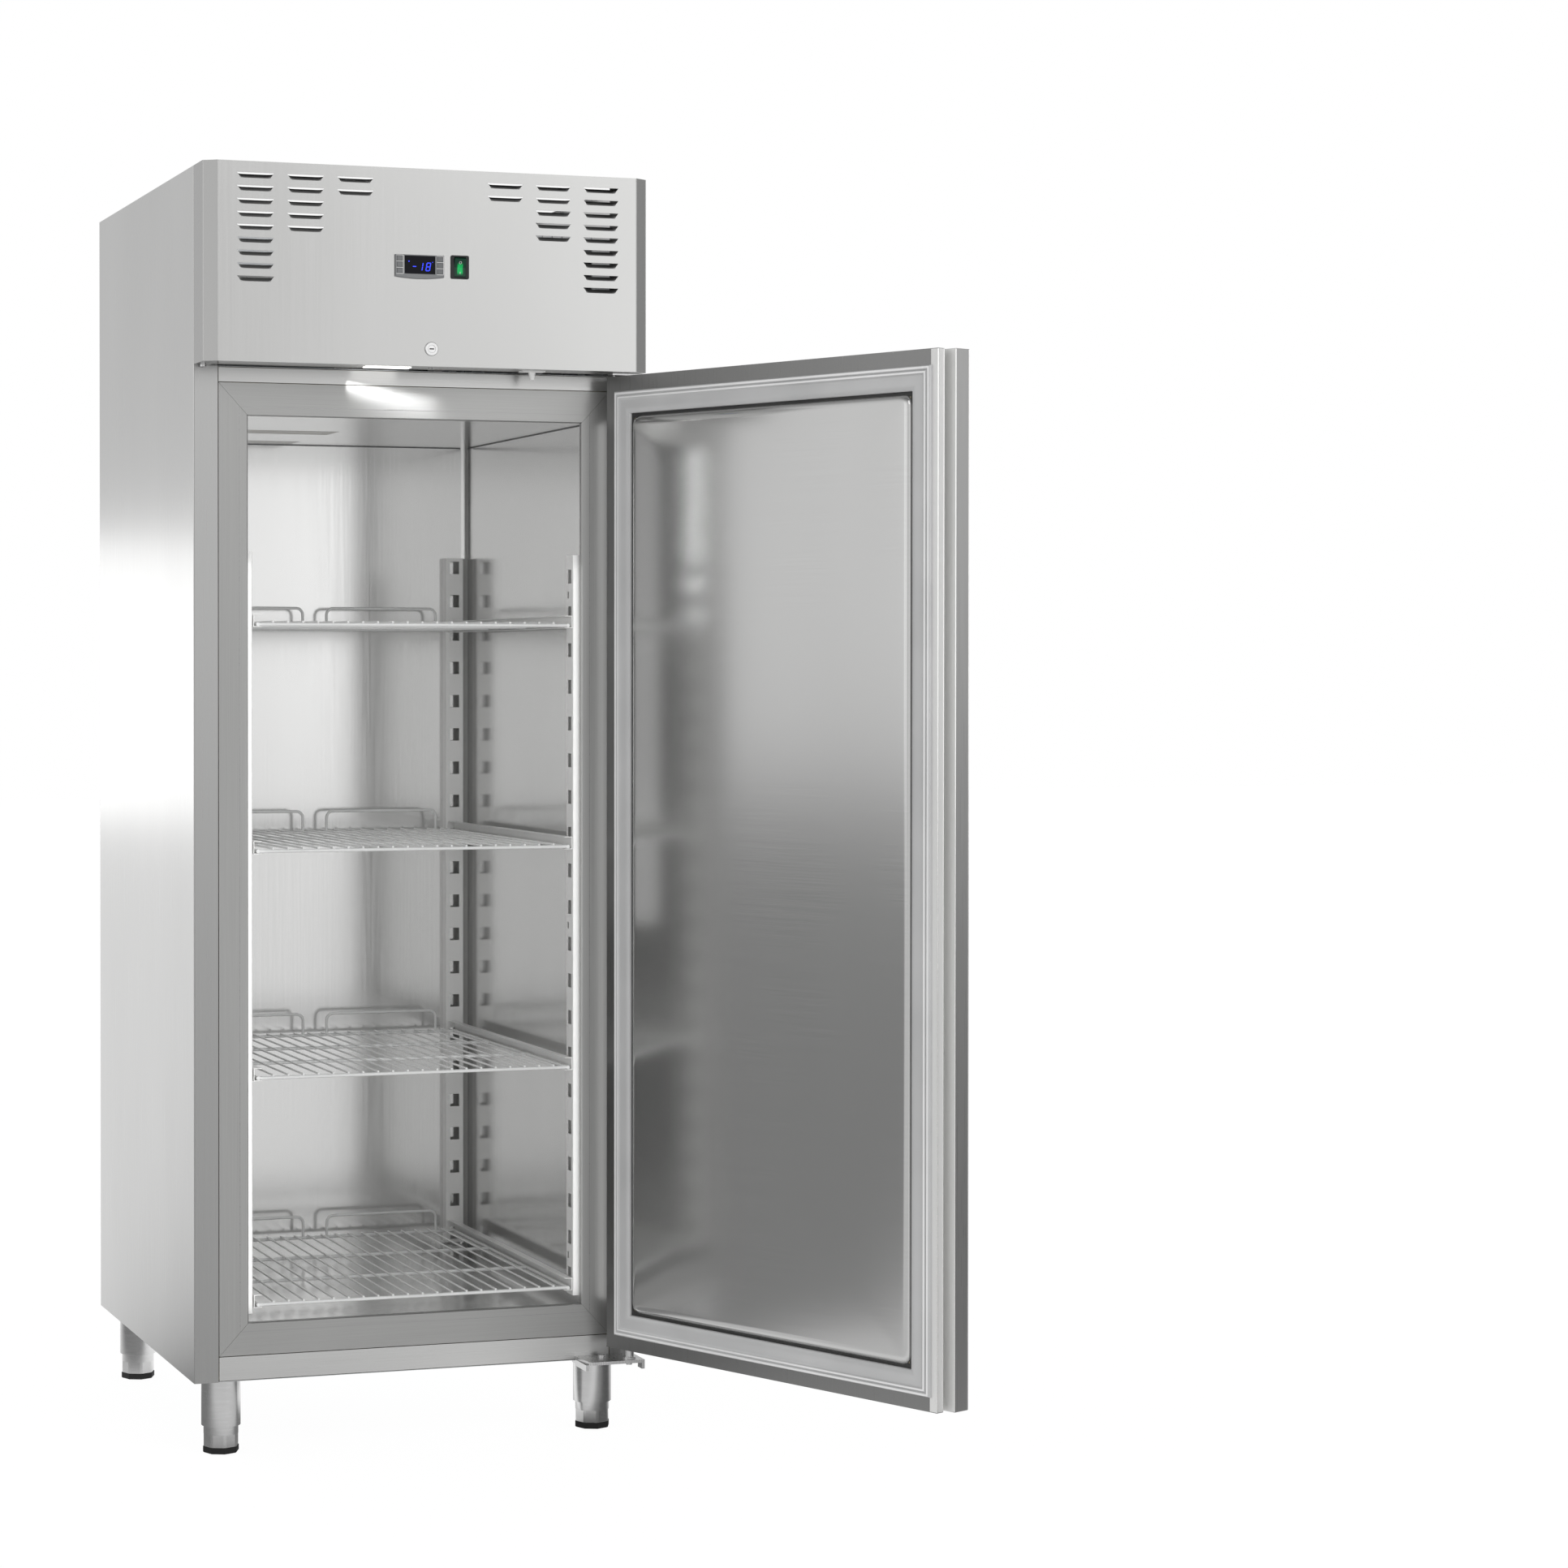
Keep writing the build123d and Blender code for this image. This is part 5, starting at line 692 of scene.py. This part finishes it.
# Rocker marks, laid on its curved face: a ring for off above and a bar for on below
marks = {"ringUp": 6.9, "ringOuter": 2.1, "ringWide": 0.55, "barDown": 9.4, "barTall": 3.6,
         "barWide": 0.8, "barSteps": 4, "thick": 0.12, "steps": 28}
rockerFace = BVHTree.FromObject(nodes["switch_rocker"], bpy.context.evaluated_depsgraph_get())
rockerMiddle = (rockerLow + rockerHigh) / 2
bm = bmesh.new()
addRing(bm, marks["ringOuter"], marks["ringWide"], marks["steps"])
bmesh.ops.translate(bm, verts=bm.verts, vec=(0, marks["ringUp"] / 1000, 0))
bar = bmesh.ops.create_grid(bm, x_segments=1, y_segments=marks["barSteps"], size=0.5)
bmesh.ops.scale(bm, verts=bar["verts"], vec=(marks["barWide"] / 1000, marks["barTall"] / 1000, 1))
bmesh.ops.translate(bm, verts=bar["verts"], vec=(0, -marks["barDown"] / 1000, 0))
bmesh.ops.solidify(bm, geom=list(bm.faces), thickness=marks["thick"] / 1000)
for vert in bm.verts:
    x, z = rockerMiddle.x + vert.co.x, rockerMiddle.z + vert.co.y
    hit = rockerFace.ray_cast(Vector((x, rockerLow.y - 0.01, z)), Vector((0, 1, 0)))[0]
    lift = marks["thick"] / 1000 if abs(vert.co.z) > 1e-6 else 0.0
    vert.co = Vector((x, (hit.y if hit else rockerLow.y) - lift, z))
finish("rockerMarks", bm, finishes["legendWhite"], "switch_rocker", 60)

# The lock's key slot, filled with a black block as painted shade, and the fine dark joint round its plug
keyhole = {"x": 370.8, "z": 1770.8, "wide": 7.2, "tall": 1.8, "sunk": 0.4, "deep": 3.0, "joint": 6.5,
           "jointWide": 0.5, "jointThick": 0.1, "proud": 0.06, "steps": 40}
keyFront = (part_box("lock_plug")[0].y - corner.y) * 1000 + keyhole["sunk"]
bm = bmesh.new()
addBlock(bm, spot(keyhole["x"] - keyhole["wide"] / 2, keyFront, keyhole["z"] - keyhole["tall"] / 2),
         spot(keyhole["x"] + keyhole["wide"] / 2, keyFront + keyhole["deep"],
              keyhole["z"] + keyhole["tall"] / 2))
finish("keywayShade", bm, finishes["shadeBlack"], "lock_plug")

bm = bmesh.new()
addRing(bm, keyhole["joint"], keyhole["jointWide"], keyhole["steps"])
bmesh.ops.solidify(bm, geom=list(bm.faces), thickness=keyhole["jointThick"] / 1000)
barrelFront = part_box("lock_barrel")[0].y
stand = Matrix.Translation((spot(keyhole["x"], 0, 0).x, barrelFront - keyhole["proud"] / 1000,
                            keyhole["z"] / 1000))
bmesh.ops.transform(bm, matrix=stand @ Matrix.Rotation(radians(90), 4, "X"), verts=bm.verts)
finish("plugJoint", bm, finishes["shadeAndJointSteel"], "fascia", 60)

# Painted shadow: a dark strip in the corner between the inside's ceiling and its walls, where the gap lies in
# shade
ceilingShade = {"high": 1663.9, "tall": 1.5, "deep": 0.9, "left": 72.4, "right": 667.6, "back": 699.6,
        "front": 12.0, "corner": 12.0, "rounding": 0.0004}
bm = bmesh.new()
low, high = ceilingShade["high"] - ceilingShade["tall"], ceilingShade["high"]
addBlock(bm, spot(ceilingShade["left"] + ceilingShade["corner"], ceilingShade["back"] - ceilingShade["deep"], low),
         spot(ceilingShade["right"] - ceilingShade["corner"], ceilingShade["back"], high), ceilingShade["rounding"])
for wall, hand in ((ceilingShade["left"], 1), (ceilingShade["right"], -1)):
    ends = sorted((wall, wall + hand * ceilingShade["deep"]))
    addBlock(bm, spot(ends[0], ceilingShade["front"], low),
             spot(ends[1], ceilingShade["back"] - ceilingShade["corner"], high), ceilingShade["rounding"])
finish("ceilingShadeStrip", bm, finishes["bezelGrey"], "cabinet")

# Crease pressed round the door frame's opening, drawn as a thin strip of darker steel: painted shade in the crease
crease = {"left": 74.75, "right": 665.25, "low": 199.0, "high": 1677.5, "wide": 0.7, "proud": 0.12,
          "sunk": 0.1}
bm = bmesh.new()
for x in (crease["left"], crease["right"]):
    addBlock(bm, spot(x - crease["wide"] / 2, -crease["proud"], crease["low"]),
             spot(x + crease["wide"] / 2, crease["sunk"], crease["high"]))
for z in (crease["low"], crease["high"]):
    addBlock(bm, spot(crease["left"], -crease["proud"], z - crease["wide"] / 2),
             spot(crease["right"], crease["sunk"], z + crease["wide"] / 2))
finish("frameCreaseShade", bm, finishes["shadeAndJointSteel"], "cabinet")

# Pan-head screws round the rear vent panel
screws = {"inset": 7.0, "radius": 3.6, "top": 1.98, "head": 1.8, "rows": 3, "columns": 4,
          "steps": 24, "dish": ((0.0004, 0.0002), (0.0007, -0.0006))}
ventLow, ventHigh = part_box("rear_vent_panel")
bm = bmesh.new()
places = []
inset = screws["inset"] / 1000
for n in range(screws["columns"]):
    x = ventLow.x + inset + n * (ventHigh.x - ventLow.x - 2 * inset) / (screws["columns"] - 1)
    places += [(x, ventLow.z + inset), (x, ventHigh.z - inset)]
for n in range(1, screws["rows"] - 1):
    z = ventLow.z + n * (ventHigh.z - ventLow.z) / (screws["rows"] - 1)
    places += [(ventLow.x + inset, z), (ventHigh.x - inset, z)]
for x, z in places:
    foot = Vector((x, ventHigh.y, z))
    made = addRod(bm, foot, foot + Vector((0, screws["head"] / 1000, 0)), screws["radius"] / 1000,
                  screws["steps"], screws["top"] / 1000)
    furthest = max(vert.co.y for vert in made["verts"])
    crown = [face for face in {face for vert in made["verts"] for face in vert.link_faces}
             if all(abs(vert.co.y - furthest) < 1e-6 for vert in face.verts)]
    for thickness, depth in screws["dish"]:
        bmesh.ops.inset_region(bm, faces=crown, thickness=thickness, depth=depth)
finish("rearScrews", bm, finishes["fastenerSteel"], "cabinet")
print("small pieces made")


# Studio: the steel shows its surroundings, so these are set by direction. Each lobe adds its gain
# round one direction, full within the inner angle and gone beyond the outer one.
def surroundings(tree, direction, base, lobes):
    unit = tree.nodes.new("ShaderNodeVectorMath")
    unit.operation = "NORMALIZE"
    tree.links.new(direction, unit.inputs[0])
    total = base
    for lobe in lobes:
        facing = tree.nodes.new("ShaderNodeVectorMath")
        facing.operation = "DOT_PRODUCT"
        facing.inputs[1].default_value = Vector(lobe["to"]).normalized()
        tree.links.new(unit.outputs["Vector"], facing.inputs[0])
        mask = smoothMask(tree, facing.outputs["Value"], cos(radians(lobe["outer"])),
                          cos(radians(lobe["inner"])))
        total = joined(tree, "ADD", total, joined(tree, "MULTIPLY", mask, lobe["gain"]))
    return joined(tree, "MAXIMUM", total, 0.02)  # never quite black


ground = {"size": 30.0, "below": 0.0005, "rough": 0.8, "share": 0.88, "glow": 1.09, "base": 0.72,
          "lobes": ({"to": (-0.91, 0.41, 0), "outer": 50, "inner": 15, "gain": -0.48},
                    {"to": (-0.31, 0.95, 0), "outer": 36, "inner": 12, "gain": 0.42},
                    {"to": (0.4, -0.92, 0), "outer": 40, "inner": 10, "gain": 0.16},
                    {"to": (0.9, -0.43, 0), "outer": 50, "inner": 20, "gain": -0.6})}
bm = bmesh.new()
bmesh.ops.create_grid(bm, x_segments=1, y_segments=1, size=ground["size"],
                      matrix=Matrix.Translation((0, 0, -ground["below"])))
mesh = bpy.data.meshes.new("studioFloor")
bm.to_mesh(mesh)
bm.free()
studioFloor = bpy.data.objects.new("studioFloor", mesh)
bpy.context.scene.collection.objects.link(studioFloor)
floorPaint, tree, shader, coords = newMaterial("floorPaint")
cloud = stretchedNoise(tree, coords, (2.0, 2.0, 2.0))
tree.links.new(tint(tree, cloud, (0.79, 0.79, 0.79), (0.81, 0.81, 0.81)), shader.inputs["Base Color"])
shader.inputs["Roughness"].default_value = ground["rough"]
path = tree.nodes.new("ShaderNodeLightPath")
seen = tree.nodes.new("ShaderNodeEmission")
seen.inputs["Strength"].default_value = ground["glow"]
camSide = tree.nodes.new("ShaderNodeMixShader")
camSide.inputs["Fac"].default_value = ground["share"]
tree.links.new(shader.outputs["BSDF"], camSide.inputs[1])
tree.links.new(seen.outputs["Emission"], camSide.inputs[2])
reflected = tree.nodes.new("ShaderNodeEmission")
tree.links.new(surroundings(tree, coords.outputs["Object"], ground["base"], ground["lobes"]),
               reflected.inputs["Strength"])
both = tree.nodes.new("ShaderNodeMixShader")
tree.links.new(path.outputs["Is Camera Ray"], both.inputs["Fac"])
tree.links.new(reflected.outputs["Emission"], both.inputs[1])
tree.links.new(camSide.outputs["Shader"], both.inputs[2])
tree.links.new(both.outputs["Shader"], tree.nodes["Material Output"].inputs["Surface"])
mesh.materials.append(floorPaint)

sky = {"base": 0.7, "lobes": ({"to": (0, 0, 1), "outer": 66, "inner": 25, "gain": -0.52},
                              {"to": (0.64, -0.77, 0.06), "outer": 30, "inner": 10, "gain": 1.4},
                              {"to": (0.2, -0.98, 0.0), "outer": 50, "inner": 20, "gain": 0.25},
                              {"to": (0.9, -0.43, 0.0), "outer": 27, "inner": 9, "gain": -0.5},
                              {"to": (-0.95, -0.31, 0.1), "outer": 36, "inner": 8, "gain": 0.45},
                              {"to": (-0.93, 0.3, 0.1), "outer": 35, "inner": 12, "gain": 0.18})}
world = bpy.data.worlds.new("studio")
bpy.context.scene.world = world
world.use_nodes = True
tree = world.node_tree
backdrop = tree.nodes["Background"]
backdrop.inputs["Color"].default_value = (1, 1, 1, 1)
coords = tree.nodes.new("ShaderNodeTexCoord")
tone = surroundings(tree, coords.outputs["Generated"], sky["base"], sky["lobes"])
path = tree.nodes.new("ShaderNodeLightPath")
white = tree.nodes.new("ShaderNodeMix")
white.inputs["B"].default_value = 1.0
tree.links.new(tone, white.inputs["A"])
tree.links.new(path.outputs["Is Camera Ray"], white.inputs["Factor"])
tree.links.new(white.outputs["Result"], backdrop.inputs["Strength"])


def softbox(name, centre, aim, width, height, power):
    lamp = bpy.data.lights.new(name, "AREA")
    lamp.shape = "RECTANGLE"
    lamp.size = width
    lamp.size_y = height
    lamp.energy = power
    holder = bpy.data.objects.new(name, lamp)
    bpy.context.scene.collection.objects.link(holder)
    holder.location = centre
    holder.rotation_euler = (aim - centre).to_track_quat("-Z", "Y").to_euler()
    holder.visible_camera = False
    return holder


softbox("leftBackSoftbox", Vector((-1.9, 3.4, 1.24)), Vector((-0.5, 0.3, 1.24)), 2.6, 0.74, 6.6)
softbox("frontSoftbox", Vector((0.4, -3.4, 3.6)), Vector((0, 0, 1.4)), 2.6, 1.6, 12)
# Small lamps at the cabinet: the lit lamp's beam on to the frame's top rail, the bright strip and glow
# that the door's panel mirrors, and fills for the right rail and the posts, which the open door hides
# from the room. Each has its place and aim in millimetres, its width, height and power.
smallLamps = {
    "lampOnFrame": ((325, -22, 1722), (330, 0, 1690), 0.15, 0.01, 0.08),
    "innerStrip": ((84, 30, 1500), (760, -240, 1500), 0.003, 0.34, 0.045),
    "innerGlow": ((76, 130, 1250), (740, -190, 1250), 0.18, 0.9, 0.2),
    "railFill": ((704, -30, 940), (704, 0, 940), 0.03, 1.45, 0.15),
    "rightFill": ((647, -4, 830), (647, 14, 830), 0.006, 1.2, 0.035),
    "leftFill": ((95, -4, 830), (95, 14, 830), 0.008, 1.2, 0.05),
}
for name, (at, aim, width, height, power) in smallLamps.items():
    lamp = softbox(name, spot(*at), spot(*aim), width, height, power)
    if name == "lampOnFrame":
        lamp.data.spread = radians(62)
bpy.context.scene.view_settings.view_transform = "Standard"
print("studio set")
